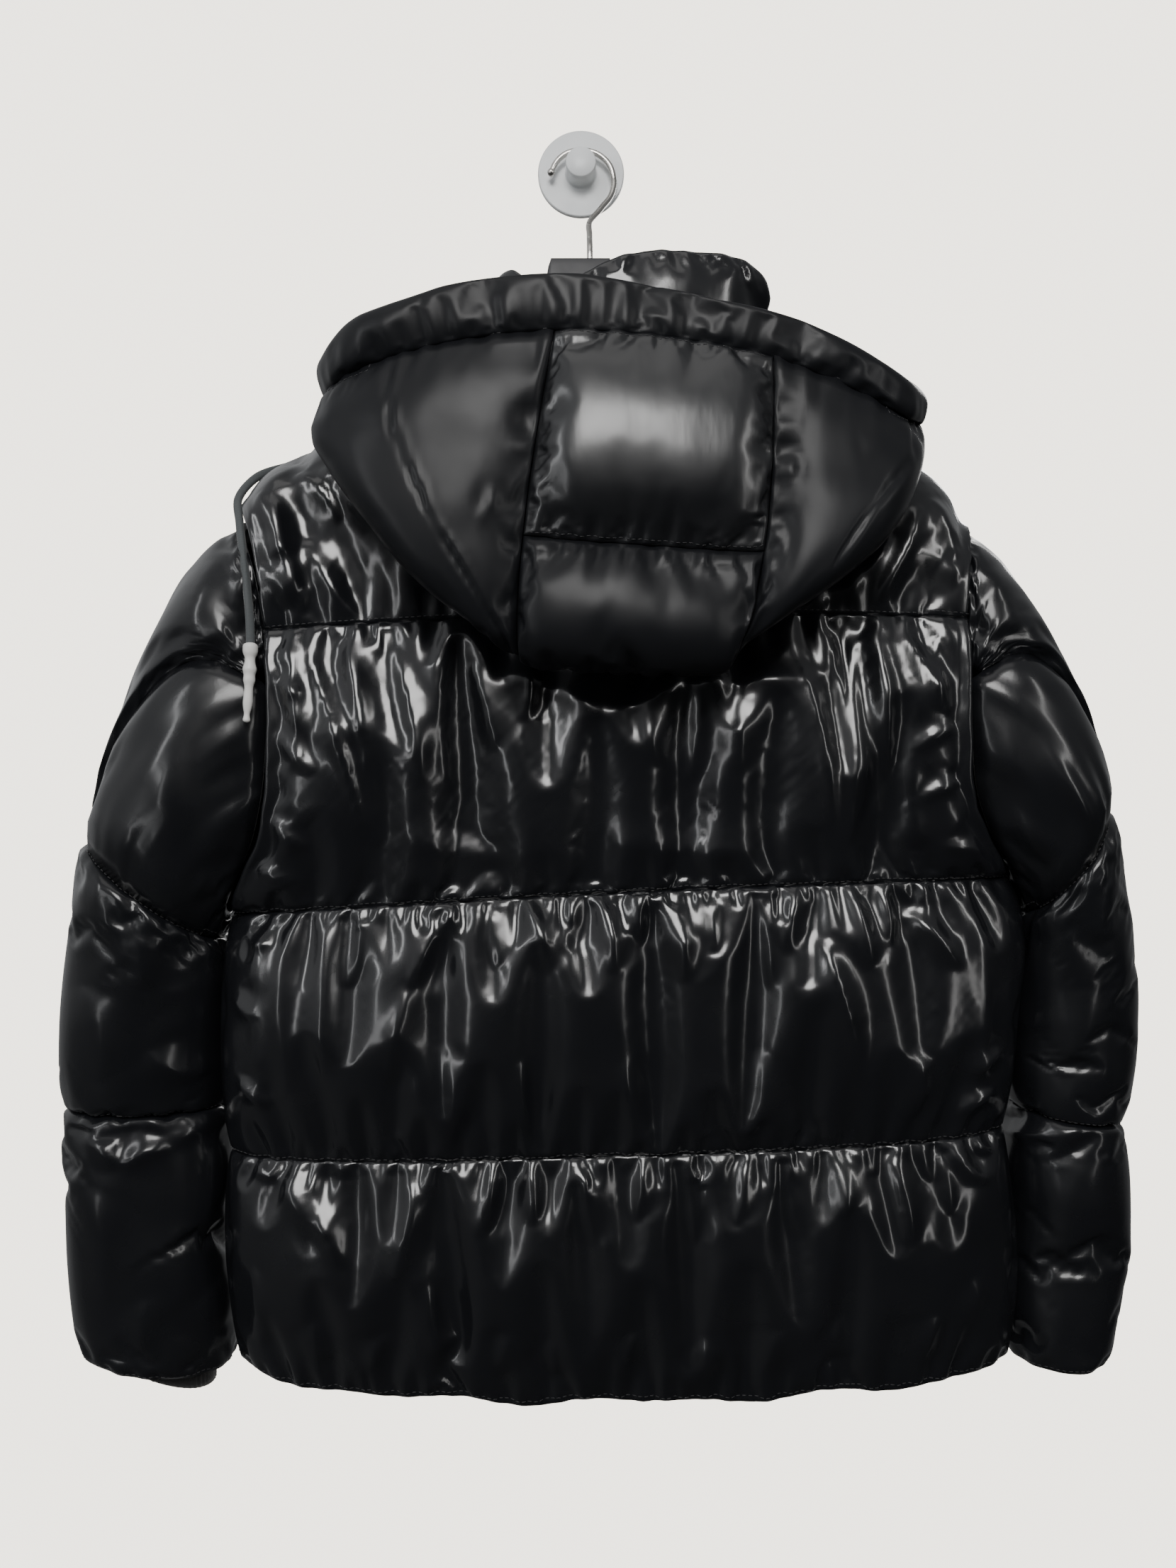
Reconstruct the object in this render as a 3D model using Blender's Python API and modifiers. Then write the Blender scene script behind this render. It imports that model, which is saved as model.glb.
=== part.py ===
"""Hooded puffer jacket on a hanger, hung from a round wall hook.

Metres, +Z up. The origin is the middle of the back face of the wall hook, and
the wall is the plane y = 0. The jacket hangs with its back towards -Y and its
zip towards the wall. Left and right are as seen from -Y.

Every quilted piece is a wall: a plain inside surface, and an outside raised
from it between the seams. The plain surfaces of body, sleeves, hood and collar
are functions of two numbers; each piece takes a range of them.
"""

import math

import bpy
import numpy as np

# ---------------------------------------------------------------- sizes
GAP = 0.0004  # between neighbouring pieces
SEAM = 0.003  # quilted cloth where a seam presses it flat
MID_Y = -0.075  # plane of the side seams and shoulder seams
BODY_PUFF = 0.016  # rise of a body baffle above its seams
YOKE_PUFF = 0.009
SLEEVE_PUFF = 0.013
HOOD_PUFF = 0.018
UNDER_PUFF = 0.004
COLLAR_PUFF = 0.010

ZIP_X = 0.027  # the zip stands upright in the middle of the front
ZIP_HALF = 0.0084  # from the zip's middle to the front pieces
NECK_X = 0.025
NECK_HALF = 0.075
NECK_DROP = {"back": 0.016, "front": 0.046}
NECK_RISE = 0.05

# Body seams from the hem up: height at the left edge, the middle, the right.
HEM, LOW, WAIST, YOKE, TOP = range(5)
SEAM_Z = np.array(
    [
        (-0.8520, -0.8600, -0.8470),
        (-0.7095, -0.7010, -0.6930),
        (-0.5480, -0.5300, -0.5230),
        (-0.3600, -0.3500, -0.3520),
    ]
)
ARM_TOP_Z = (-0.2850, -0.2940)  # shoulder points, left and right

# Side seams and armholes: height, left x, right x.
EDGE = np.array(
    [
        (-0.862, -0.2240, 0.2840),
        (-0.800, -0.2320, 0.2900),
        (-0.700, -0.2360, 0.2860),
        (-0.620, -0.2370, 0.2910),
        (-0.560, -0.2350, 0.2960),
        (-0.545, -0.2340, 0.2945),
        (-0.523, -0.2235, 0.2880),
        (-0.500, -0.2130, 0.2720),
        (-0.470, -0.2060, 0.2590),
        (-0.430, -0.2030, 0.2540),
        (-0.370, -0.2050, 0.2530),
        (-0.320, -0.2130, 0.2540),
        (-0.294, -0.2230, 0.2600),
        (-0.285, -0.2270, 0.2620),
    ]
)

# Shoulder line: x, height.
RIDGE = np.array(
    [
        (-0.229, -0.2860),
        (-0.215, -0.2600),
        (-0.186, -0.2360),
        (-0.100, -0.1960),
        (-0.050, -0.1760),
        (0.025, -0.1660),
        (0.100, -0.1800),
        (0.200, -0.2290),
        (0.238, -0.2560),
        (0.262, -0.2950),
    ]
)

# Half depth of the body: height, back, front.
DEPTH = np.array(
    [
        (-0.862, 0.044, 0.040),
        (-0.700, 0.050, 0.046),
        (-0.530, 0.052, 0.047),
        (-0.350, 0.051, 0.047),
        (-0.160, 0.050, 0.046),
    ]
)
ARM_DEPTH = 0.047
ARM_ROUND = 0.12  # height over which the armhole rounds off at the armpit

# Sleeves: station, outer x and z, inner x and z, half depth, middle y.
# Station 0 is the armhole, 1 the elbow seam, 2 the forearm seam, 3 the cuff.
SLEEVE = {
    "left": np.array(
        [
            (0.00, -0.2270, -0.2850, -0.2340, -0.5480, 0.047, -0.075),
            (0.30, -0.2640, -0.3330, -0.2400, -0.5510, 0.050, -0.075),
            (0.60, -0.2990, -0.4020, -0.2440, -0.5540, 0.051, -0.074),
            (0.85, -0.3240, -0.4600, -0.2480, -0.5590, 0.050, -0.072),
            (1.00, -0.3360, -0.5000, -0.2520, -0.5660, 0.048, -0.070),
            (1.20, -0.3420, -0.5500, -0.2555, -0.5980, 0.044, -0.065),
            (1.60, -0.3510, -0.6200, -0.2570, -0.6400, 0.041, -0.061),
            (2.00, -0.3530, -0.6830, -0.2560, -0.6830, 0.039, -0.060),
            (2.50, -0.3480, -0.7600, -0.2555, -0.7720, 0.038, -0.060),
            (3.00, -0.3405, -0.8500, -0.2520, -0.8640, 0.036, -0.060),
        ]
    ),
    "right": np.array(
        [
            (0.00, 0.2620, -0.2940, 0.2950, -0.5300, 0.047, -0.075),
            (0.30, 0.2930, -0.3320, 0.3000, -0.5330, 0.050, -0.075),
            (0.60, 0.3260, -0.3880, 0.3040, -0.5360, 0.051, -0.074),
            (0.85, 0.3490, -0.4400, 0.3070, -0.5400, 0.050, -0.072),
            (1.00, 0.3570, -0.4760, 0.3100, -0.5480, 0.048, -0.070),
            (1.20, 0.3640, -0.5300, 0.3135, -0.5800, 0.044, -0.065),
            (1.60, 0.3710, -0.6150, 0.3135, -0.6350, 0.041, -0.061),
            (2.00, 0.3685, -0.6930, 0.3100, -0.6840, 0.039, -0.060),
            (2.50, 0.3675, -0.7600, 0.3125, -0.7650, 0.038, -0.060),
            (3.00, 0.3575, -0.8530, 0.3070, -0.8560, 0.036, -0.060),
        ]
    ),
}
SLANT = math.radians(81)  # where the slanting seam meets the armhole
SLANT_TOP = 0.955  # its station on the outer line of the sleeve

# Hood: brim seam (x, y, z), lowest line (x, y, z), neck seam (x, y, z).
HOOD = np.array(
    [
        (-0.118, -0.040, -0.171, -0.096, -0.043, -0.174, -0.070, -0.048, -0.162),
        (-0.150, -0.090, -0.184, -0.110, -0.094, -0.179, -0.070, -0.080, -0.161),
        (-0.156, -0.148, -0.213, -0.112, -0.152, -0.258, -0.066, -0.112, -0.166),
        (-0.135, -0.172, -0.2075, -0.100, -0.171, -0.318, -0.042, -0.133, -0.174),
        (-0.092, -0.182, -0.1967, -0.072, -0.175, -0.356, -0.018, -0.138, -0.177),
        (-0.0144, -0.188, -0.1886, -0.038, -0.177, -0.380, 0.006, -0.139, -0.178),
        (0.0500, -0.188, -0.1925, 0.026, -0.178, -0.386, 0.025, -0.139, -0.178),
        (0.1157, -0.186, -0.2040, 0.084, -0.177, -0.380, 0.045, -0.139, -0.178),
        (0.1620, -0.182, -0.2200, 0.120, -0.174, -0.350, 0.070, -0.137, -0.178),
        (0.1970, -0.168, -0.2340, 0.156, -0.168, -0.306, 0.096, -0.130, -0.177),
        (0.2120, -0.128, -0.2220, 0.166, -0.134, -0.250, 0.116, -0.110, -0.170),
        (0.2020, -0.080, -0.1940, 0.160, -0.084, -0.186, 0.119, -0.080, -0.166),
        (0.1680, -0.040, -0.1770, 0.146, -0.043, -0.180, 0.118, -0.048, -0.167),
    ]
)
HOOD_SEAMS = (5 / 12, 7 / 12)  # the two seams beside the centre pieces
HOOD_CROSS = 0.40  # share of the way down to the cross seam
BRIM_START = (-0.084, -0.0300, -0.158)  # ends of the brim, at the neck
BRIM_STOP = (0.134, -0.0300, -0.164)
BRIM_TALL, BRIM_THICK = 0.036, 0.024

# Stand collar: turn from the zip round by the left, top height, top half width.
COLLAR = np.array(
    [
        (0.000, -0.137),
        (0.150, -0.136),
        (0.250, -0.134),
        (0.308, -0.124),
        (0.345, -0.124),
        (0.370, -0.131),
        (0.450, -0.131),
        (0.485, -0.122),
        (0.520, -0.117),
        (0.600, -0.115),
        (0.680, -0.118),
        (0.720, -0.128),
        (0.750, -0.138),
        (0.850, -0.138),
        (1.000, -0.137),
    ]
)

COLLAR_LEAN = 0.26  # how far the collar's right side leans out, of its half width

# Hanger, from its middle outwards: x, top height, bottom height.
HANGER = np.array(
    [
        (0.0000, -0.0920, -0.1620),
        (0.0205, -0.0920, -0.1650),
        (0.0225, -0.0980, -0.1670),
        (0.0260, -0.1200, -0.1700),
        (0.0340, -0.1810, -0.2020),
        (0.0500, -0.2000, -0.2230),
        (0.1000, -0.2100, -0.2400),
        (0.1600, -0.2370, -0.2660),
        (0.1880, -0.2540, -0.2780),
        (0.1950, -0.2620, -0.2740),
    ]
)
HANGER_Y, HANGER_THICK = -0.062, 0.020

# Hanger hook: route of the wire's middle (x, y, z).
HOOK_ROUTE = (
    (0.0066, -0.0600, -0.0914),
    (0.0066, -0.0600, -0.0850),
    (0.0064, -0.0460, -0.0660),
    (0.0064, -0.0350, -0.0520),
    (0.0150, -0.0240, -0.0360),
    (0.0232, -0.0150, -0.0200),
    (0.0246, -0.0120, -0.0110),
    (0.0215, -0.0115, 0.0020),
    (0.0125, -0.0112, 0.0106),
    (0.0005, -0.0112, 0.0134),
    (-0.0110, -0.0112, 0.0110),
    (-0.0190, -0.0115, 0.0036),
    (-0.0222, -0.0120, -0.0035),
)
WIRE_RADIUS = 0.0021
BALL_RADIUS = 0.0029

# Wall hook, turned about the y axis: distance from the wall, radius.
PEG = (
    (0.0000, 0.0320),
    (0.0008, 0.0325),
    (0.0034, 0.0325),
    (0.0042, 0.0318),
    (0.0046, 0.0120),
    (0.0060, 0.0109),
    (0.0120, 0.0108),
    (0.0150, 0.0108),
    (0.0170, 0.0112),
    (0.0210, 0.0112),
    (0.0218, 0.0104),
)

# Drawcord: route of its middle after the eyelet, over the left shoulder.
CORD_ROUTE = (
    (-0.1534, -0.0382, -0.1559),
    (-0.1564, -0.0355, -0.1599),
    (-0.1575, -0.0345, -0.1654),
    (-0.1595, -0.0350, -0.1880),
    (-0.1645, -0.0395, -0.2180),
    (-0.1790, -0.0434, -0.2300),
    (-0.1952, -0.0538, -0.2318),
    (-0.2060, -0.0696, -0.2390),
    (-0.2216, -0.0856, -0.2506),
    (-0.2300, -0.0988, -0.2690),
    (-0.2262, -0.1082, -0.2860),
    (-0.2193, -0.1236, -0.3110),
    (-0.2149, -0.1306, -0.3350),
    (-0.2118, -0.1348, -0.3600),
    (-0.2112, -0.1358, -0.3715),
)
TIP_ROUTE = (
    (-0.2112, -0.1358, -0.3719),
    (-0.2120, -0.1362, -0.3960),
    (-0.2135, -0.1366, -0.4190),
)
CORD_RADIUS = 0.0028


# ---------------------------------------------------------------- helpers
def clear_scene():
    for obj in list(bpy.data.objects):
        bpy.data.objects.remove(obj, do_unlink=True)


def material(name, colour, rough, metal=0.0):
    """A plain surface colour."""
    made = bpy.data.materials.new(name)
    made.use_nodes = True
    shader = made.node_tree.nodes["Principled BSDF"]
    shader.inputs["Base Color"].default_value = (*colour, 1)
    shader.inputs["Roughness"].default_value = rough
    shader.inputs["Metallic"].default_value = metal
    return made


def smooth(table, at):
    """A smooth curve through a table's rows; the first column is its measure."""
    table = np.asarray(table, float)
    xs, ys = table[:, 0], table[:, 1:]
    step = np.diff(xs)
    rate = np.diff(ys, axis=0) / step[:, None]
    slope = np.empty_like(ys)
    slope[0], slope[-1] = rate[0], rate[-1]
    before, after = step[:-1, None], step[1:, None]
    slope[1:-1] = (rate[:-1] * after + rate[1:] * before) / (before + after)
    at = np.clip(np.asarray(at, float), xs[0], xs[-1])
    k = np.clip(np.searchsorted(xs, at, side="right") - 1, 0, len(xs) - 2)
    h = step[k][..., None]
    t = (at - xs[k])[..., None] / h
    return (
        ys[k] * (1 + 2 * t) * (1 - t) ** 2
        + slope[k] * h * t * (1 - t) ** 2
        + ys[k + 1] * t**2 * (3 - 2 * t)
        + slope[k + 1] * h * t**2 * (t - 1)
    )


def along(points, count):
    """Evenly spaced points on a smooth curve through the given ones."""
    points = np.asarray(points, float)
    length = np.r_[0, np.cumsum(np.linalg.norm(np.diff(points, axis=0), axis=1))]
    fine = smooth(np.c_[length, points], np.linspace(0, length[-1], 400))
    run = np.r_[0, np.cumsum(np.linalg.norm(np.diff(fine, axis=0), axis=1))]
    want = np.linspace(0, run[-1], count)
    return np.stack([np.interp(want, run, fine[:, i]) for i in range(3)], -1)


def unit(v):
    return v / np.maximum(np.linalg.norm(v, axis=-1, keepdims=True), 1e-12)


def add_mesh(name, points, faces, look):
    """A mesh object, its faces turned to point out."""
    points = np.asarray(points, float)
    volume = 0.0
    for face in faces:
        a = points[face[0]]
        for i in range(1, len(face) - 1):
            volume += a @ np.cross(points[face[i]], points[face[i + 1]])
    if volume < 0:
        faces = [face[::-1] for face in faces]
    mesh = bpy.data.meshes.new(name)
    mesh.from_pydata(points.tolist(), [], [list(map(int, f)) for f in faces])
    mesh.update()
    obj = bpy.data.objects.new(name, mesh)
    bpy.context.scene.collection.objects.link(obj)
    mesh.materials.append(look)
    return obj


def wall(name, inside, outside, look, ring=False):
    """A closed wall between two grids of points; a ring joins its sides."""
    rows, cols = inside.shape[:2]
    inner = np.arange(rows * cols).reshape(rows, cols)
    outer = inner + rows * cols
    if ring:
        inner = np.c_[inner, inner[:, :1]]
        outer = np.c_[outer, outer[:, :1]]
    faces = []
    for grid, turn in ((outer, 1), (inner, -1)):
        quads = np.stack([grid[:-1, :-1], grid[:-1, 1:], grid[1:, 1:], grid[1:, :-1]], -1)
        faces += quads.reshape(-1, 4)[:, ::turn].tolist()
    rims = [(inner[0], outer[0]), (outer[-1], inner[-1])]
    if not ring:
        rims += [(outer[:, 0], inner[:, 0]), (inner[:, -1], outer[:, -1])]
    for low, high in rims:
        quads = np.stack([low[:-1], low[1:], high[1:], high[:-1]], -1)
        faces += quads.tolist()
    points = np.concatenate([inside.reshape(-1, 3), outside.reshape(-1, 3)])
    return add_mesh(name, points, faces, look)


def outward(surface, a, b, away):
    """Unit normals of a surface, on the side of the function `away`."""
    d = 1e-3
    ta = surface(a + d, b) - surface(a - d, b)
    tb = surface(a, b + d) - surface(a, b - d)
    normal = unit(np.cross(ta, tb))
    side = np.sign(np.sum(normal * away, axis=-1, keepdims=True))
    side[side == 0] = 1
    return normal * side


def bump(t, power=2.4):
    """0 at both ends, 1 in the middle, with steep ends and a round top."""
    return np.sqrt(np.maximum(0, 1 - np.abs(2 * t - 1) ** power))


def loft(name, rings, look, caps=True):
    """A solid through a run of rings of points."""
    rings = np.asarray(rings)
    rows, cols = rings.shape[:2]
    grid = np.arange(rows * cols).reshape(rows, cols)
    grid = np.c_[grid, grid[:, :1]]
    quads = np.stack([grid[:-1, :-1], grid[:-1, 1:], grid[1:, 1:], grid[1:, :-1]], -1)
    faces = quads.reshape(-1, 4).tolist()
    if caps:
        faces += [grid[0, :-1][::-1].tolist(), grid[-1, :-1].tolist()]
    return add_mesh(name, rings.reshape(-1, 3), faces, look)


def sweep(route, profile, up):
    """Rings of a flat profile (side, up) carried along a route."""
    ahead = unit(np.gradient(route, axis=0))
    side = unit(np.cross(ahead, up))
    lift = unit(np.cross(side, ahead))
    profile = np.asarray(profile)
    return (
        route[:, None]
        + side[:, None] * profile[None, :, :1]
        + lift[:, None] * profile[None, :, 1:]
    )


def tube(name, route, radius, look, sides=2):
    """A round cord or wire along a route."""
    curve = bpy.data.curves.new(name, "CURVE")
    curve.dimensions = "3D"
    spline = curve.splines.new("POLY")
    spline.points.add(len(route) - 1)
    spline.points.foreach_set("co", np.c_[route, np.ones(len(route))].ravel())
    curve.bevel_depth = radius
    curve.bevel_resolution = sides
    curve.use_fill_caps = True
    curve.materials.append(look)
    obj = bpy.data.objects.new(name, curve)
    bpy.context.scene.collection.objects.link(obj)
    return obj


# ---------------------------------------------------------------- body
def seam_height(seam, w):
    """Height of a body seam; w runs from -1 at the left edge to 1 at the right."""
    level = SEAM_Z[seam]
    left, middle, right = level[..., 0], level[..., 1], level[..., 2]
    return middle + (right - left) / 2 * w + ((left + right) / 2 - middle) * w**2


def ridge(x):
    return smooth(RIDGE, x)[..., 0]


def neck_share(x):
    """1 in the middle of the neck, 0 at its sides and beyond them."""
    return np.maximum(0, 1 - ((x - NECK_X) / NECK_HALF) ** 2)


def body_depth(side, x, z, w):
    """Half depth of the body: rounded at the sides, closed along the shoulders."""
    deep = smooth(DEPTH, z)[..., 0 if side == "back" else 1]
    over = np.clip((z - seam_height(WAIST * np.ones(np.shape(w), int), w)) / ARM_ROUND, 0, 1)
    arm = ARM_DEPTH * np.sqrt(1 - (1 - over) ** 2)
    half = arm + (deep - arm) * np.sqrt(np.maximum(0, 1 - np.abs(w) ** 4))
    crest = ridge(x) + NECK_RISE * np.sqrt(neck_share(x))
    rise = np.clip((z - crest + 0.10) / 0.10, 0, 1)
    return half * np.sqrt(np.maximum(0, 1 - rise**2.5))


def body_point(side, w, r):
    """Plain surface of the body; r counts the seams up from the hem."""
    w = np.clip(w, -1, 1)
    r = np.clip(r, 0, 4)
    w, r = np.broadcast_arrays(w, r)
    k = np.clip(np.floor(r).astype(int), 0, 3)
    share = r - k
    share = np.where(k == YOKE, np.sin(share * math.pi / 2), share)
    up = np.minimum(k + 1, 3)
    low_l, low_r = seam_height(k, -1.0), seam_height(k, 1.0)
    top_l = np.where(k == YOKE, ARM_TOP_Z[0], seam_height(up, -1.0))
    top_r = np.where(k == YOKE, ARM_TOP_Z[1], seam_height(up, 1.0))
    left = smooth(EDGE[:, [0, 1]], low_l + (top_l - low_l) * share)[..., 0]
    right = smooth(EDGE[:, [0, 2]], low_r + (top_r - low_r) * share)[..., 0]
    x = (left + right) / 2 + (right - left) / 2 * w
    top = ridge(x) - NECK_DROP[side] * neck_share(x)
    top = np.where(k == YOKE, top, seam_height(up, w))
    low = seam_height(k, w)
    z = low + (top - low) * share
    deep = body_depth(side, x, z, w) + GAP / 2
    return np.stack([x, MID_Y + (deep if side == "front" else -deep), z], -1)


def half_width(r):
    ends = body_point("back", np.array([-1.0, 1.0])[:, None], np.ravel(r)[None])
    return ends[0, :, 0].reshape(np.shape(r)), ends[1, :, 0].reshape(np.shape(r))


def quilt_body(name, side, part, seam, cols, rows, look):
    """One baffle of the body, or of one front half."""
    inset = 0.0012

    def surface(a, b):
        a = np.clip(a, 0, 1)
        r = seam + inset + (1 - 2 * inset) * b
        if part == "whole":
            w = -np.cos(math.pi * a)
        else:
            left, right = half_width(r)
            stop = ZIP_X + (-ZIP_HALF if part == "left" else ZIP_HALF)
            stop = (stop - (left + right) / 2) / ((right - left) / 2)
            edge = -1.0 if part == "left" else 1.0
            w = edge + (stop - edge) * (1 - np.cos(math.pi / 2 * a))
        return body_point(side, w, r)

    a, b = np.meshgrid(np.linspace(0, 1, cols), np.linspace(0, 1, rows))
    base = surface(a, b)
    centre = np.stack([base[..., 0] * 0 + 0.03, base[..., 1] * 0 + MID_Y, base[..., 2] - 0.01], -1)
    normal = outward(surface, a, b, base - centre)
    level = np.minimum(1, 4 * (b if seam == YOKE else b * (1 - b) * 2))
    near = np.minimum(a, 1 - a) if part == "whole" else a
    aside = np.clip(near / 0.12, 0, 1) if seam in (WAIST, YOKE) else np.ones(np.shape(a))
    normal = unit(normal * np.stack([aside, 1 + 0 * b, level], -1))
    rise = YOKE_PUFF if seam == YOKE else BODY_PUFF
    up = b if seam != HEM else 0.16 + 0.84 * b
    across = a if part == "whole" else a * 0.97
    puff = rise * bump(up) * bump(across, 8.0)
    return wall(name, base, base + normal * (SEAM + puff)[..., None], look)


# ---------------------------------------------------------------- sleeves
def armhole(side, turn):
    """The armhole: turn 0 is the shoulder point and pi the armpit."""
    row = SLEEVE[side][0]
    middle, reach = (row[2] + row[4]) / 2, (row[2] - row[4]) / 2
    z = middle + reach * np.cos(turn)
    w = np.full(np.shape(turn), -1.0 if side == "left" else 1.0)
    x = smooth(EDGE[:, [0, 1 if side == "left" else 2]], z)[..., 0]
    deep = body_depth("back", x, z, w)
    return np.stack([x, MID_Y - deep * np.sign(np.sin(turn)), z], -1)


def sleeve_point(side, station, turn):
    """Plain surface of a sleeve; turn 0 is its outer line, pi its underarm."""
    station = np.clip(station, 0, 3)
    station, turn = np.broadcast_arrays(station, turn)
    row = smooth(SLEEVE[side], station)
    outer = np.stack([row[..., 0], row[..., 5], row[..., 1]], -1)
    inner = np.stack([row[..., 2], row[..., 5], row[..., 3]], -1)
    c, s = np.cos(turn)[..., None], np.sin(turn)[..., None]
    across = (outer - inner) / 2
    deep = np.stack([0 * station, -row[..., 4], 0 * station], -1)
    plain = (outer + inner) / 2 + across * c + deep * s
    first = SLEEVE[side][0]
    mid = np.array([first[1] + first[3], 2 * first[6], first[2] + first[4]]) / 2
    reach = np.array([first[1] - first[3], 0, first[2] - first[4]]) / 2
    start = mid + reach * c + np.array([0, -first[5], 0]) * s
    fade = (np.clip(1 - station / 0.8, 0, 1) ** 2)[..., None]
    under = ((1 - np.cos(turn)) / 2) ** 3 * np.clip(1 - station, 0, 1)
    clear = np.stack([under * (-0.008 if side == "left" else 0.009), 0 * under, 0 * under], -1)
    return plain + fade * (armhole(side, turn) - start) + clear


def slant(turn):
    """Station of the slanting seam at a turn round the sleeve."""
    reach = np.abs(np.arctan2(np.sin(turn), np.cos(turn))) / SLANT
    return np.clip(SLANT_TOP * (1 - reach), 0, SLANT_TOP)


def quilt_sleeve(name, side, kind, cols, rows, look):
    """One padded piece of a sleeve."""
    start = 0.0035
    if kind == "cap":
        turns = np.linspace(-SLANT * 0.93, SLANT * 0.93, cols)
    else:
        turns = np.linspace(0, 2 * math.pi, cols, endpoint=False) + math.pi
    t, b = np.meshgrid(turns, np.linspace(0, 1, rows))

    def surface(t, b):
        if kind == "cap":
            low, high = start + 0 * t, slant(t) - 0.004
        elif kind == "upper":
            low, high = np.maximum(slant(t) + 0.004, start), 0.996 + 0 * t
        elif kind == "forearm":
            low, high = 1.001 + 0 * t, 1.998 + 0 * t
        else:
            low, high = 2.0 + 0 * t, 3.0 + 0 * t
        return sleeve_point(side, low + (high - low) * b, t)

    base = surface(t, b)
    row_middle = sleeve_point(side, {"cap": 0.5, "upper": 0.9, "forearm": 1.5, "cuff": 2.5}[kind], np.linspace(0, 2 * math.pi, 24)).mean(axis=0)
    away = base - row_middle
    if kind != "cap":
        away = away * np.array([1, 1, 0.0])
    normal = outward(surface, t, b, away)
    if kind in ("cap", "upper"):
        station = np.where(kind == "cap", b * slant(t), slant(t) + (1 - slant(t)) * b)
        normal = unit(normal * np.stack([np.clip(station / 0.3, 0, 1), 1 + 0 * b, 1 + 0 * b], -1))
    up = b if kind != "cuff" else b * 0.90
    seam_under = 1 - 0.75 * np.exp(-(((np.mod(t, 2 * math.pi) - math.pi) / 0.5) ** 2))
    puff = SLEEVE_PUFF * bump(up) * seam_under
    if kind == "cap":
        puff = puff * bump((t / SLANT / 0.93 + 1) / 2, 3.0)
    if kind == "upper":
        reach = np.clip(np.abs(np.arctan2(np.sin(t), np.cos(t))) / SLANT, 0.12, 1)
        puff = puff * reach
    return wall(name, base, base + normal * (SEAM + puff)[..., None], look, kind != "cap")


def inner_cuff(name, side, look):
    """A thin knitted cuff inside the end of a sleeve."""
    drop = -0.0075 if side == "left" else -0.0055
    turns = np.linspace(0, 2 * math.pi, 20, endpoint=False)
    t, b = np.meshgrid(turns, np.linspace(0, 1, 4))
    ring = sleeve_point(side, 2.72 + 0.28 * b, t)
    middle = sleeve_point(side, 2.72 + 0.28 * b, t).mean(axis=1, keepdims=True)
    tilt = 0.16 * b**2 * 0.03 * (-np.cos(t) if side == "left" else 0 * t)
    inward = unit(middle - ring)
    step = (GAP + 0.0060 * np.minimum(1, 2.2 * b))[..., None]
    outside = ring + inward * step
    inside = ring + inward * (step + 0.0018)
    for grid in (inside, outside):
        grid[..., 2] += drop * b - tilt * 2
    return wall(name, inside, outside, look, True)


# ---------------------------------------------------------------- hood
def hood_rows(a):
    table = np.c_[np.linspace(0, 1, len(HOOD)), HOOD]
    row = smooth(table, np.clip(a, 0, 1))
    return row[..., 0:3], row[..., 3:6], row[..., 6:9]


def hood_point(a, b):
    """Plain surface of the hood: b 0 is the brim seam, 1 the low line, 2 the neck."""
    brim, low, neck = hood_rows(a)
    turn = np.clip(b, 0, 2) * math.pi / 2
    c, s = np.cos(turn), np.sin(turn)
    c = (np.sign(c) * np.abs(c) ** 0.85)[..., None]
    s = (np.abs(s) ** 0.85)[..., None]
    middle = (brim + neck) / 2
    plain = middle + (brim - neck) / 2 * c + (low - middle) * s
    side = np.clip(np.abs(a - 0.5) / 0.5 - 0.35, 0, 1) * 2
    over = np.clip(b, 0, 1)
    swell = np.sin(math.pi * over) ** 1.2 * np.minimum(1, side) * 0.014
    up = np.clip((np.abs(a - 0.5) - 0.27) / 0.09, 0, 1)
    return rest_on_body(plain, 0.0106 + swell, up * up * (3 - 2 * up))


def beside(point, spare):
    """Below 1 inside the padded body with `spare` round it, above 1 outside."""
    x, y, z = point[..., 0], point[..., 1] - MID_Y, point[..., 2]
    edge = ridge(x) - NECK_DROP["back"] * neck_share(x)
    puff = YOKE_PUFF * np.sqrt(np.clip((edge - z) / 0.02, 0, 1))
    deep = smooth(DEPTH, z)[..., 0] + SEAM + puff + spare
    crest = ridge(x) + NECK_RISE * np.sqrt(neck_share(x)) + SEAM + 0.7 * YOKE_PUFF + spare
    rise = np.clip((z - crest + 0.11) / 0.11, 0, 3)
    level = np.sqrt(np.abs(y / deep) ** 2.6 + rise**3.4)
    return np.where((neck_share(x) > 0) & (z > edge), 2, level)


def rest_on_body(point, spare, up):
    """Moves points out of the padded body: upwards where `up` is 1, else backwards."""
    way = unit(np.stack([0 * up, up - 1, up], -1))
    low, high = np.zeros(point.shape[:-1]), np.full(point.shape[:-1], 0.2)
    for _ in range(24):
        half = (low + high) / 2
        clear = beside(point + way * half[..., None], spare) > 1
        low, high = np.where(clear, low, half), np.where(clear, half, high)
    moved = np.where(beside(point, spare) > 1, 0, high)
    return point + way * moved[..., None]


def outer_face(surface, a, b):
    """Unit normals on the shell's side, the same way round everywhere."""
    d = 1e-3
    ta = surface(a + d, b) - surface(a - d, b)
    tb = surface(a, b + d) - surface(a, b - d)
    return -unit(np.cross(ta, tb))


def calm(normal, rounds=4):
    """Evens out a grid of normals and leaves its edges as they are."""
    for _ in range(rounds):
        down, across = normal[:-2, 1:-1] + normal[2:, 1:-1], normal[1:-1, :-2] + normal[1:-1, 2:]
        normal = normal.copy()
        normal[1:-1, 1:-1] = unit(normal[1:-1, 1:-1] + down + across)
    return normal


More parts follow.
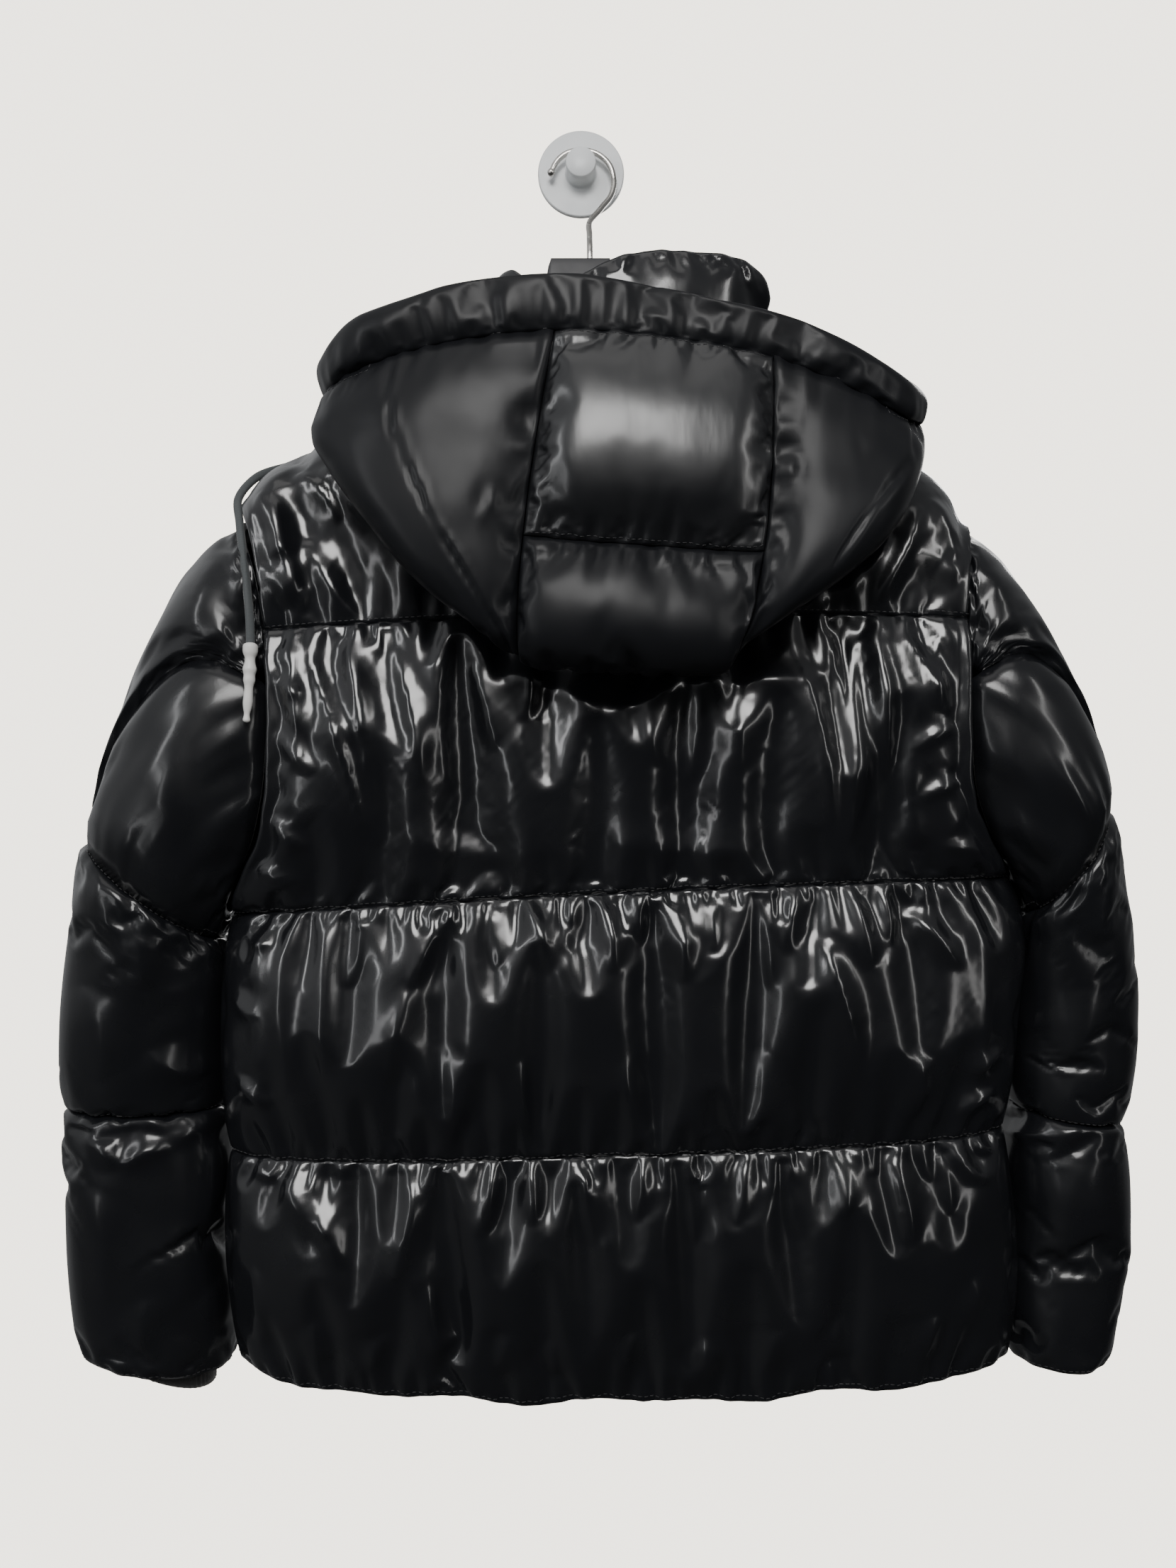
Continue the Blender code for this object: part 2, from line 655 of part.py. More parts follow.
def quilt_hood(name, start, stop, top, bottom, cols, rows, rise, look):
    aside, inset = 0.0004, 0.0010

    def surface(a, b):
        return hood_point(a, b)

    a, b = np.meshgrid(
        np.linspace(start + aside, stop - aside, cols),
        np.linspace(top + inset, bottom - inset, rows) + (0.006 if top == 1 else 0),
    )
    base = surface(a, b)
    normal = calm(outer_face(surface, a, b))
    along_a = (a - a.min()) / (a.max() - a.min())
    along_b = (b - b.min()) / (b.max() - b.min())
    puff = rise * np.sin(math.pi * along_b) ** 0.7 * bump(along_a, 3.0)
    return wall(name, base, base + normal * (SEAM + puff)[..., None], look)


def brim_route():
    """Middle of the brim, from the zip round the mouth and back."""
    brim, low, neck = hood_rows(np.linspace(0, 1, 13))
    lift = unit(brim - low) * 0.35 + np.array([0, 0, 0.65])
    over = brim + unit(lift) * (BRIM_TALL / 2 + 0.0026)
    route = np.concatenate([[BRIM_START], over, [BRIM_STOP]])
    return along(route, 38)


# ---------------------------------------------------------------- collar
def collar_point(t, q):
    """Plain inner surface of the collar; t runs round from the zip by the left."""
    t = np.clip(t, 0, 1)
    turn = 2 * math.pi * t
    x = NECK_X - (NECK_HALF - 0.0010) * np.sin(turn)
    front = np.cos(turn) > 0
    drop = np.where(front, NECK_DROP["front"], NECK_DROP["back"])
    z = ridge(x) - drop * np.cos(turn) ** 2
    w = (x - 0.03) / 0.26
    deep = np.where(
        front, body_depth("front", x, z, w), body_depth("back", x, z, w)
    )
    y = MID_Y + deep * np.sign(np.cos(turn))
    top = smooth(COLLAR, t)[..., 0]
    low = z + np.where(front, 0.0025, 0.0014)
    lean = COLLAR_LEAN * np.exp(-(((t - 0.715) / 0.075) ** 2))
    wide = 1 + (0.06 + lean) * q
    return np.stack(
        [
            NECK_X + (x - NECK_X) * wide,
            MID_Y + (y - MID_Y) * (1 + 0.02 * q),
            low + (top - low) * q,
        ],
        -1,
    )


def quilt_collar(look):
    half = NECK_HALF - 0.0010
    start = math.asin((NECK_X - ZIP_X + ZIP_HALF) / half) / (2 * math.pi)
    stop = 1 - math.asin((ZIP_X + ZIP_HALF - NECK_X) / half) / (2 * math.pi)

    def surface(a, b):
        return collar_point(a, np.clip(b, 0, 1))

    a, b = np.meshgrid(np.linspace(start, stop, 34), np.linspace(0, 1, 5))
    base = surface(a, b)
    middle = np.stack([0 * a + NECK_X, 0 * a + MID_Y, base[..., 2]], -1)
    normal = outward(surface, a, b, base - middle)
    along_a = (a - a.min()) / (a.max() - a.min())
    puff = COLLAR_PUFF * bump(0.01 + 0.90 * b) * bump(along_a, 8.0)
    return wall("stand_collar", base, base + normal * (SEAM - 0.001 + puff)[..., None], look)


EYELET_AT = 0.085  # share of the way along the brim, from its left end


def eyelet_place():
    """Middle of the brim's outer face at the eyelet, and the way it faces."""
    route = brim_route()
    k = int(EYELET_AT * len(route))
    ahead = unit(route[k + 1] - route[k - 1])
    face = unit(np.cross(ahead, (0, 0, 1.0)))
    face = face * np.sign(face @ (route[k] - np.array([NECK_X, MID_Y, route[k][2]])))
    return route[k] + face * (BRIM_THICK / 2 + GAP), face


def eyelet(look):
    """A flat ring on the brim, round the drawcord."""
    place, face = eyelet_place()
    up = unit(np.cross(face, np.cross((0, 0, 1.0), face)))
    side = np.cross(face, up)
    turns = np.linspace(0, 2 * math.pi, 16, endpoint=False)
    around = side * np.cos(turns)[:, None] + up * np.sin(turns)[:, None]
    rim = ((0.0034, 0.0), (0.0060, 0.0), (0.0060, 0.0012), (0.0034, 0.0012))
    rings = [place + around * r + face * d for r, d in rim]
    return loft("cord_eyelet", rings + rings[:1], look, caps=False)


# ---------------------------------------------------------------- zip
def zip_line(count):
    """Middle line of the zip, from the hem to the top of the collar."""
    r = np.linspace(0.004, 3.985, count - 4)
    left, right = half_width(r)
    w = (ZIP_X - (left + right) / 2) / ((right - left) / 2)
    body = body_point("front", w, r)
    neck = collar_point(np.zeros(4), np.linspace(0.08, 0.98, 4))
    line = np.concatenate([body, neck])
    line[:, 0] = ZIP_X
    return line


def zip_strip(name, x0, x1, y0, y1, look, trim=0):
    line = zip_line(26)
    line = line[: len(line) - trim]
    corners = ((x0, y0), (x1, y0), (x1, y1), (x0, y1))
    rings = [[(p[0] + x, p[1] + y, p[2]) for x, y in corners] for p in line]
    return loft(name, rings, look)


def block(name, size, place, look, bevel=0.0):
    """A box with softened edges."""
    bpy.ops.mesh.primitive_cube_add(size=1, location=place)
    obj = bpy.context.object
    obj.name = name
    obj.scale = size
    bpy.ops.object.transform_apply(location=True, scale=True)
    if bevel:
        soft = obj.modifiers.new("Soft edges", "BEVEL")
        soft.width = bevel
        soft.segments = 1
    obj.data.materials.append(look)
    return obj


def bar(name, radius, length, place, look, sides=12):
    """A round bar lying along x."""
    bpy.ops.mesh.primitive_cylinder_add(
        vertices=sides,
        radius=radius,
        depth=length,
        location=place,
        rotation=(0, math.pi / 2, 0),
    )
    obj = bpy.context.object
    obj.name = name
    bpy.ops.object.transform_apply(location=True, rotation=True)
    obj.data.materials.append(look)
    return obj


def combine(obj, other, operation):
    """Joins another object to this one, or cuts it away."""
    cut = obj.modifiers.new(operation.title(), "BOOLEAN")
    cut.operation = operation
    cut.solver = "EXACT"
    cut.object = other
    other.hide_render = True
    other.hide_set(True)


PIN_RADIUS = 0.0008
TAB_LONG, TAB_WIDE, TAB_THICK = 0.030, 0.0062, 0.0016


def slider_and_tab(metal):
    """Slider at the top of the zip, with a pull tab hinged on its pin."""
    top = zip_line(26)[-2]
    y = top[1] + SEAM
    z = top[2] - 0.004
    body = block("zip_slider", (0.0096, 0.0024, 0.0100), (ZIP_X, y + 0.0011, z), metal, 0.0006)
    pin_y, pin_z = y + 0.0048, z + 0.0015
    for number, dx in enumerate((-0.0042, 0.0042)):
        lug = block(f"lug_{number}", (0.0010, 0.0042, 0.0032), (ZIP_X + dx, y + 0.0038, pin_z), metal)
        combine(body, lug, "UNION")
    pin = bar("pin", PIN_RADIUS, 0.0088, (ZIP_X, pin_y, pin_z), metal, 10)
    combine(body, pin, "UNION")

    tab = block(
        "zip_pull",
        (TAB_WIDE * 0.98, TAB_THICK, TAB_LONG),
        (ZIP_X, pin_y, pin_z - TAB_LONG / 2 - 0.0006),
        metal,
        0.0003,
    )
    eye = bar("eye", 0.0020, 0.0054, (ZIP_X, pin_y, pin_z), metal, 14)
    combine(tab, eye, "UNION")
    hole = bar("hole", PIN_RADIUS + 0.00035, 0.0120, (ZIP_X, pin_y, pin_z), metal, 12)
    combine(tab, hole, "DIFFERENCE")
    slot = block("slot", (0.0026, 0.0060, 0.0090), (ZIP_X, pin_y, pin_z - 0.0200), metal)
    combine(tab, slot, "DIFFERENCE")


# ---------------------------------------------------------------- hanger
def hanger(look):
    xs = np.union1d(HANGER[:, 0], (0.010, 0.070, 0.085, 0.130))
    half = np.stack([np.interp(xs, HANGER[:, 0], HANGER[:, i]) for i in (1, 2)], -1)
    xs = np.r_[-xs[:0:-1], xs]
    top = np.r_[half[:0:-1, 0], half[:, 0]]
    low = np.r_[half[:0:-1, 1], half[:, 1]]
    corners = np.array([(-1, -0.6), (-0.6, -1), (0.6, -1), (1, -0.6), (1, 0.6), (0.6, 1), (-0.6, 1), (-1, 0.6)])
    rings = []
    for x, t, b in zip(xs, top, low):
        mid, tall = (t + b) / 2, (t - b) / 2
        soft = min(0.4 * tall, 0.003)
        ring = []
        for cy, cz in corners:
            y = HANGER_Y + np.sign(cy) * (HANGER_THICK / 2 - (0.003 if abs(cy) < 1 else 0))
            z = mid + np.sign(cz) * (tall - (soft if abs(cz) < 1 else 0))
            ring.append((x, y, z))
        rings.append(ring)
    return loft("hanger", rings, look)


def turned(name, rows, look, sides=32):
    """A round piece turned about the y axis."""
    turns = np.linspace(0, 2 * math.pi, sides, endpoint=False)
    rings = [
        np.stack([r * np.cos(turns), np.full(sides, -d), r * np.sin(turns)], -1)
        for d, r in rows
    ]
    return loft(name, rings, look)


def ball(name, radius, place, look):
    bpy.ops.mesh.primitive_uv_sphere_add(segments=14, ring_count=8, radius=radius, location=place)
    obj = bpy.context.object
    obj.name = name
    bpy.ops.object.transform_apply(location=True)
    obj.data.materials.append(look)
    return obj


def hook_wire(look):
    route = along(HOOK_ROUTE, 32)
    wire = tube("hook_wire_run", route, WIRE_RADIUS, look, 2)
    bpy.context.view_layer.update()
    graph = bpy.context.evaluated_depsgraph_get()
    mesh = bpy.data.meshes.new_from_object(wire.evaluated_get(graph))
    made = bpy.data.objects.new("hanger_hook", mesh)
    bpy.context.scene.collection.objects.link(made)
    weld = made.modifiers.new("Weld", "WELD")
    weld.merge_threshold = 0.00002
    combine(made, ball("hook_ball", BALL_RADIUS, route[-1], look), "UNION")
    bpy.data.objects.remove(wire, do_unlink=True)
    return made


# ---------------------------------------------------------------- build
def build():
    clear_scene()
    shell = material("Glossy padded shell", (0.012, 0.013, 0.016), 0.22)
    hood_shell = material("Glossy hood shell", (0.014, 0.015, 0.018), 0.28)
    lining = material("Hood lining", (0.020, 0.020, 0.022), 0.5)
    knit = material("Knitted cuff", (0.02, 0.02, 0.02), 0.9)
    tape = material("Zip tape", (0.015, 0.015, 0.016), 0.8)
    teeth = material("Zip chain", (0.03, 0.03, 0.03), 0.4)
    metal = material("Zip metal", (0.30, 0.30, 0.31), 0.3, 1.0)
    nickel = material("Satin nickel", (0.70, 0.68, 0.64), 0.28, 1.0)
    charcoal = material("Charcoal hanger", (0.045, 0.045, 0.05), 0.55)
    white = material("White wall hook", (0.82, 0.83, 0.84), 0.45)
    grey = material("Grey drawcord", (0.09, 0.10, 0.105), 0.8)
    tip = material("White cord tip", (0.75, 0.76, 0.76), 0.35)

    names = {HEM: "hem", LOW: "waist", WAIST: "chest", YOKE: "yoke"}
    rows = {HEM: 9, LOW: 9, WAIST: 9, YOKE: 9}
    for seam, word in names.items():
        quilt_body(f"back_{word}", "back", "whole", seam, 25, rows[seam], shell)
        for part in ("left", "right"):
            quilt_body(f"front_{part}_{word}", "front", part, seam, 11, 7, shell)
    for side in ("left", "right"):
        quilt_sleeve(f"sleeve_{side}_cap", side, "cap", 13, 5, shell)
        quilt_sleeve(f"sleeve_{side}_upper", side, "upper", 22, 6, shell)
        quilt_sleeve(f"sleeve_{side}_forearm", side, "forearm", 20, 7, shell)
        quilt_sleeve(f"sleeve_{side}_cuff", side, "cuff", 20, 7, shell)
        inner_cuff(f"inner_cuff_{side}", side, knit)

    left, right = HOOD_SEAMS
    quilt_hood("hood_side_left", 0, left, 0, 1, 15, 9, HOOD_PUFF, hood_shell)
    quilt_hood("hood_centre_upper", left, right, 0, HOOD_CROSS, 8, 7, HOOD_PUFF, hood_shell)
    quilt_hood("hood_centre_lower", left, right, HOOD_CROSS, 1, 8, 6, HOOD_PUFF, hood_shell)
    quilt_hood("hood_side_right", right, 1, 0, 1, 15, 9, HOOD_PUFF, hood_shell)
    quilt_hood("hood_under", 0, 1, 1, 2, 23, 6, UNDER_PUFF, lining)

    turns = np.linspace(0, 2 * math.pi, 10, endpoint=False)
    oval = np.c_[BRIM_THICK / 2 * np.cos(turns), BRIM_TALL / 2 * np.sin(turns)]
    loft("hood_brim", sweep(brim_route(), oval, np.array([0, 0, 1.0])), hood_shell)
    quilt_collar(shell)

    zip_strip("zip_tape_left", -0.0079, -0.0031, 0.0008, 0.0018, tape)
    zip_strip("zip_tape_right", 0.0031, 0.0079, 0.0008, 0.0018, tape)
    zip_strip("zip_chain", -0.0027, 0.0027, 0.0000, 0.0026, teeth)
    slider_and_tab(metal)

    hanger(charcoal)
    hook_wire(nickel)
    turned("wall_hook", PEG, white)

    eyelet(metal)
    place, face = eyelet_place()
    route = np.concatenate([[place], CORD_ROUTE])
    tube("drawcord", along(route, 48), CORD_RADIUS, grey, 2)
    route = along(TIP_ROUTE, 8)
    tube("cord_tip", route, CORD_RADIUS + 0.0012, tip, 2)


build()
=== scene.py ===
"""The look of a hooded puffer jacket on a hanger: its padded cloth, drawcord,
zip, sewing, finishes, light and camera.

Metres, +Z up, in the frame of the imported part: the origin is the middle of the
back face of the wall hook, the wall is the plane y = 0, and the jacket hangs
with its back towards -Y. Left and right are as seen from -Y.

Every padded piece is one grid of points. It starts on the plain surface of the
garment, is blown up as cloth between its sewn edges, with more cloth than the
edges are long, so that gathers form along them, and is then closed with a
plain inside.
"""

import itertools
import math

import bpy
import numpy as np
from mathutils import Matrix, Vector


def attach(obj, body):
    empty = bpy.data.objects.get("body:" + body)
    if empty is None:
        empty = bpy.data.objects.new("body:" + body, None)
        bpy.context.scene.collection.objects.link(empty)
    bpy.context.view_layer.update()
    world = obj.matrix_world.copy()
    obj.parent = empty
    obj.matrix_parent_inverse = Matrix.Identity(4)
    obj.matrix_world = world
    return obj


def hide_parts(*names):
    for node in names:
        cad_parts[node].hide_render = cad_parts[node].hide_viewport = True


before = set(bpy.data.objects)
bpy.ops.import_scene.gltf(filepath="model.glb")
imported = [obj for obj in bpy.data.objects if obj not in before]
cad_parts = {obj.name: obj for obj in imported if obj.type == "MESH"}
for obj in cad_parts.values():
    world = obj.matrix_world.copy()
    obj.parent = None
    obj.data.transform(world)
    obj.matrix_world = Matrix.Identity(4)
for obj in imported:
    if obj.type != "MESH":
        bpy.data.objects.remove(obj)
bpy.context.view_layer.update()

# -------------------- sizes
GAP = 0.0004  # between neighbouring pieces
SEAM = 0.003  # quilted cloth where a seam presses it flat
MID_Y = -0.075  # plane of the side seams and shoulder seams
SIDES = ("left", "right")
BODY_PUFF = 0.016  # rise of a body baffle above its seams
YOKE_PUFF = 0.009
SLEEVE_PUFF = 0.013
HOOD_PUFF = 0.018
UNDER_PUFF = 0.004
COLLAR_PUFF = 0.010

ZIP_X = 0.027  # the zip stands upright in the middle of the front
ZIP_HALF = 0.0084  # from the zip's middle to the front pieces
NECK_X = 0.025
NECK_HALF = 0.075
NECK_DROP = {"back": 0.016, "front": 0.046}
NECK_RISE = 0.05

# Body seams from the hem up: height at the left edge, the middle, the right.
HEM, LOW, WAIST, YOKE = range(4)
SEAM_Z = np.array(
    [
        (-0.8520, -0.8600, -0.8470),
        (-0.7095, -0.7010, -0.6930),
        (-0.5480, -0.5300, -0.5230),
        (-0.3600, -0.3500, -0.3520),
    ]
)
ARM_TOP_Z = (-0.2850, -0.2940)  # shoulder points, left and right

# Side seams and armholes: height, left x, right x.
EDGE = np.array(
    [
        (-0.862, -0.2240, 0.2840),
        (-0.800, -0.2320, 0.2900),
        (-0.700, -0.2360, 0.2860),
        (-0.620, -0.2370, 0.2910),
        (-0.560, -0.2350, 0.2960),
        (-0.545, -0.2340, 0.2945),
        (-0.523, -0.2235, 0.2880),
        (-0.500, -0.2130, 0.2720),
        (-0.470, -0.2060, 0.2590),
        (-0.430, -0.2030, 0.2540),
        (-0.370, -0.2050, 0.2530),
        (-0.320, -0.2130, 0.2540),
        (-0.294, -0.2230, 0.2600),
        (-0.285, -0.2270, 0.2620),
    ]
)

# Shoulder line: x, height.
RIDGE = np.array(
    [
        (-0.229, -0.2860),
        (-0.215, -0.2600),
        (-0.186, -0.2360),
        (-0.100, -0.1960),
        (-0.050, -0.1760),
        (0.025, -0.1660),
        (0.100, -0.1800),
        (0.200, -0.2290),
        (0.238, -0.2560),
        (0.262, -0.2950),
    ]
)

# Half depth of the body: height, back, front.
DEPTH = np.array(
    [
        (-0.862, 0.044, 0.040),
        (-0.700, 0.050, 0.046),
        (-0.530, 0.052, 0.047),
        (-0.350, 0.051, 0.047),
        (-0.160, 0.050, 0.046),
    ]
)
ARM_DEPTH = 0.047
ARM_ROUND = 0.12  # height over which the armhole rounds off at the armpit

# Sleeves: station, outer x and z, inner x and z, half depth, middle y.
# Station 0 is the armhole, 1 the elbow seam, 2 the forearm seam, 3 the cuff.
SLEEVE = {
    "left": np.array(
        [
            (0.00, -0.2270, -0.2850, -0.2340, -0.5480, 0.047, -0.075),
            (0.30, -0.2640, -0.3330, -0.2400, -0.5510, 0.050, -0.075),
            (0.60, -0.2990, -0.4020, -0.2440, -0.5540, 0.051, -0.074),
            (0.85, -0.3240, -0.4600, -0.2480, -0.5590, 0.050, -0.072),
            (1.00, -0.3360, -0.5000, -0.2520, -0.5660, 0.048, -0.070),
            (1.20, -0.3420, -0.5500, -0.2555, -0.5980, 0.044, -0.065),
            (1.60, -0.3510, -0.6200, -0.2570, -0.6400, 0.041, -0.061),
            (2.00, -0.3530, -0.6830, -0.2560, -0.6830, 0.039, -0.060),
            (2.50, -0.3480, -0.7600, -0.2555, -0.7720, 0.038, -0.060),
            (3.00, -0.3405, -0.8500, -0.2520, -0.8640, 0.036, -0.060),
        ]
    ),
    "right": np.array(
        [
            (0.00, 0.2620, -0.2940, 0.2950, -0.5300, 0.047, -0.075),
            (0.30, 0.2930, -0.3320, 0.3000, -0.5330, 0.050, -0.075),
            (0.60, 0.3260, -0.3880, 0.3040, -0.5360, 0.051, -0.074),
            (0.85, 0.3490, -0.4400, 0.3070, -0.5400, 0.050, -0.072),
            (1.00, 0.3570, -0.4760, 0.3100, -0.5480, 0.048, -0.070),
            (1.20, 0.3640, -0.5300, 0.3135, -0.5800, 0.044, -0.065),
            (1.60, 0.3710, -0.6150, 0.3135, -0.6350, 0.041, -0.061),
            (2.00, 0.3685, -0.6930, 0.3100, -0.6840, 0.039, -0.060),
            (2.50, 0.3675, -0.7600, 0.3125, -0.7650, 0.038, -0.060),
            (3.00, 0.3575, -0.8530, 0.3070, -0.8560, 0.036, -0.060),
        ]
    ),
}
SLANT = math.radians(81)  # where the slanting seam meets the armhole
SLANT_TOP = 0.955  # its station on the outer line of the sleeve
CAP_WIDE = 0.93  # share of the seam's turn that the cap reaches to

# Hood: brim seam (x, y, z), lowest line (x, y, z), neck seam (x, y, z).
HOOD = np.array(
    [
        (-0.118, -0.040, -0.171, -0.096, -0.043, -0.174, -0.070, -0.048, -0.162),
        (-0.150, -0.090, -0.184, -0.110, -0.094, -0.179, -0.070, -0.080, -0.161),
        (-0.156, -0.148, -0.213, -0.112, -0.152, -0.258, -0.066, -0.112, -0.166),
        (-0.135, -0.172, -0.2075, -0.100, -0.171, -0.318, -0.042, -0.133, -0.174),
        (-0.092, -0.182, -0.1967, -0.072, -0.175, -0.356, -0.018, -0.138, -0.177),
        (-0.0144, -0.188, -0.1886, -0.038, -0.177, -0.380, 0.006, -0.139, -0.178),
        (0.0500, -0.188, -0.1925, 0.026, -0.178, -0.386, 0.025, -0.139, -0.178),
        (0.1157, -0.186, -0.2040, 0.084, -0.177, -0.380, 0.045, -0.139, -0.178),
        (0.1620, -0.182, -0.2200, 0.120, -0.174, -0.350, 0.070, -0.137, -0.178),
        (0.1970, -0.168, -0.2340, 0.156, -0.168, -0.306, 0.096, -0.130, -0.177),
        (0.2120, -0.128, -0.2220, 0.166, -0.134, -0.250, 0.116, -0.110, -0.170),
        (0.2020, -0.080, -0.1940, 0.160, -0.084, -0.186, 0.119, -0.080, -0.166),
        (0.1680, -0.040, -0.1770, 0.146, -0.043, -0.180, 0.118, -0.048, -0.167),
    ]
)
HOOD_SEAMS = (5 / 12, 7 / 12)  # the two seams beside the centre pieces
HOOD_CROSS = 0.40  # share of the way down to the cross seam
HOOD_CLEAR = 0.0106  # between the hood's plain surface and the padded back
BRIM_START = (-0.084, -0.0300, -0.158)  # ends of the brim, at the neck
BRIM_STOP = (0.134, -0.0300, -0.164)
BRIM_TALL, BRIM_THICK = 0.036, 0.024

# Stand collar: share of the way round, from the zip by the left; top height.
COLLAR = np.array(
    [
        (0.000, -0.137),
        (0.150, -0.136),
        (0.250, -0.134),
        (0.308, -0.124),
        (0.345, -0.124),
        (0.370, -0.131),
        (0.450, -0.131),
        (0.485, -0.122),
        (0.520, -0.117),
        (0.600, -0.115),
        (0.680, -0.118),
        (0.720, -0.128),
        (0.750, -0.138),
        (0.850, -0.138),
        (1.000, -0.137),
    ]
)

COLLAR_HALF = NECK_HALF - 0.0010
COLLAR_LEAN = 0.26  # how far the collar's right side leans out, of its half width

# Hanger, from its middle outwards: x, top height, bottom height.
HANGER = np.array(
    [
        (0.0000, -0.0920, -0.1620),
        (0.0205, -0.0920, -0.1650),
        (0.0225, -0.0980, -0.1670),
        (0.0260, -0.1200, -0.1700),
        (0.0340, -0.1810, -0.2020),
        (0.0500, -0.2000, -0.2230),
        (0.1000, -0.2100, -0.2400),
        (0.1600, -0.2370, -0.2660),
        (0.1880, -0.2540, -0.2780),
        (0.1950, -0.2620, -0.2740),
    ]
)
HANGER_Y, HANGER_THICK = -0.062, 0.020

# Hanger hook: route of the wire's middle (x, y, z).
HOOK_ROUTE = (
    (0.0066, -0.0600, -0.0914),
    (0.0066, -0.0600, -0.0850),
    (0.0064, -0.0460, -0.0660),
    (0.0064, -0.0350, -0.0520),
    (0.0150, -0.0240, -0.0360),
    (0.0232, -0.0150, -0.0200),
    (0.0246, -0.0120, -0.0110),
    (0.0215, -0.0115, 0.0020),
    (0.0125, -0.0112, 0.0106),
    (0.0005, -0.0112, 0.0134),
    (-0.0110, -0.0112, 0.0110),
    (-0.0190, -0.0115, 0.0036),
    (-0.0222, -0.0120, -0.0035),
)
WIRE_RADIUS = 0.0021
BALL_RADIUS = 0.0029

# Wall hook, turned about the y axis: distance from the wall, radius.
PEG = (
    (0.0000, 0.0320),
    (0.0008, 0.0325),
    (0.0034, 0.0325),
    (0.0042, 0.0318),
    (0.0046, 0.0120),
    (0.0060, 0.0109),
    (0.0120, 0.0108),
    (0.0150, 0.0108),
    (0.0170, 0.0112),
    (0.0210, 0.0112),
    (0.0218, 0.0104),
)

# Drawcord: route of its middle after the eyelet, over the left shoulder.
CORD_ROUTE = (
    (-0.1534, -0.0382, -0.1559),
    (-0.1564, -0.0355, -0.1599),
    (-0.1575, -0.0345, -0.1654),
    (-0.1595, -0.0350, -0.1880),
    (-0.1645, -0.0395, -0.2180),
    (-0.1790, -0.0434, -0.2300),
    (-0.1952, -0.0538, -0.2318),
    (-0.2060, -0.0696, -0.2390),
    (-0.2216, -0.0856, -0.2506),
    (-0.2300, -0.0988, -0.2690),
    (-0.2262, -0.1082, -0.2860),
    (-0.2193, -0.1236, -0.3110),
    (-0.2149, -0.1306, -0.3350),
    (-0.2118, -0.1348, -0.3600),
    (-0.2112, -0.1358, -0.3715),
)
TIP_ROUTE = (
    (-0.2112, -0.1358, -0.3719),
    (-0.2120, -0.1362, -0.3960),
    (-0.2135, -0.1366, -0.4190),
)
CORD_RADIUS = 0.0028


# -------------------- plain shapes
def smooth(table, at):
    """A smooth curve through a table's rows; the first column is its measure."""
    table = np.asarray(table, float)
    xs, ys = table[:, 0], table[:, 1:]
    step = np.diff(xs)
    rate = np.diff(ys, axis=0) / step[:, None]
    slope = np.empty_like(ys)
    slope[0], slope[-1] = rate[0], rate[-1]
    before, after = step[:-1, None], step[1:, None]
    slope[1:-1] = (rate[:-1] * after + rate[1:] * before) / (before + after)
    at = np.clip(np.asarray(at, float), xs[0], xs[-1])
    k = np.clip(np.searchsorted(xs, at, side="right") - 1, 0, len(xs) - 2)
    h = step[k][..., None]
    t = (at - xs[k])[..., None] / h
    return (
        ys[k] * (1 + 2 * t) * (1 - t) ** 2
        + slope[k] * h * t * (1 - t) ** 2
        + ys[k + 1] * t**2 * (3 - 2 * t)
        + slope[k + 1] * h * t**2 * (t - 1)
    )


def run_of(line):
    """Length along a line of points, from its start."""
    return np.r_[0, np.cumsum(np.linalg.norm(np.diff(line, axis=0), axis=1))]


def on_line(line, run, at):
    """Places on a line of points, straight between them, at the lengths `at`."""
    return np.stack([np.interp(at, run, line[:, i]) for i in range(3)], -1)


def along(points, count):
    """Evenly spaced points on a smooth curve through the given ones."""
    points = np.asarray(points, float)
    length = run_of(points)
    fine = smooth(np.c_[length, points], np.linspace(0, length[-1], 400))
    run = run_of(fine)
    return on_line(fine, run, np.linspace(0, run[-1], count))


def unit(v):
    """Vectors divided by their lengths."""
    return v / np.maximum(np.linalg.norm(v, axis=-1, keepdims=True), 1e-12)


def turned(count):
    """Equal turns of a full circle, the first at 0."""
    return np.linspace(0, 2 * math.pi, count, endpoint=False)


def squared(value, power):
    """A sine or cosine raised to a power with its sign kept: rounds a corner."""
    return np.sign(value) * np.abs(value) ** power


def plain_normal(surface, a, b):
    """Unit normals: the cross of the surface's small steps in a and in b."""
    d = 1e-3
    ta = surface(a + d, b) - surface(a - d, b)
    tb = surface(a, b + d) - surface(a, b - d)
    return unit(np.cross(ta, tb))


def outward(surface, a, b, away):
    """Unit normals of a surface, each on the side that `away` points to."""
    normal = plain_normal(surface, a, b)
    side = np.sign(np.sum(normal * away, axis=-1, keepdims=True))
    side[side == 0] = 1
    return normal * side


def bump(t, power=2.4):
    """0 at both ends, 1 in the middle, with steep ends and a round top."""
    return np.sqrt(np.maximum(0, 1 - np.abs(2 * t - 1) ** power))


# -------------------- body
def seam_height(seam, w):
    """Height of a body seam; w runs from -1 at the left edge to 1 at the right."""
    level = SEAM_Z[seam]
    left, middle, right = level[..., 0], level[..., 1], level[..., 2]
    return middle + (right - left) / 2 * w + ((left + right) / 2 - middle) * w**2


def ridge(x):
    """Height of the shoulder line."""
    return smooth(RIDGE, x)[..., 0]


def neck_share(x):
    """1 in the middle of the neck, 0 at its sides and beyond them."""
    return np.maximum(0, 1 - ((x - NECK_X) / NECK_HALF) ** 2)


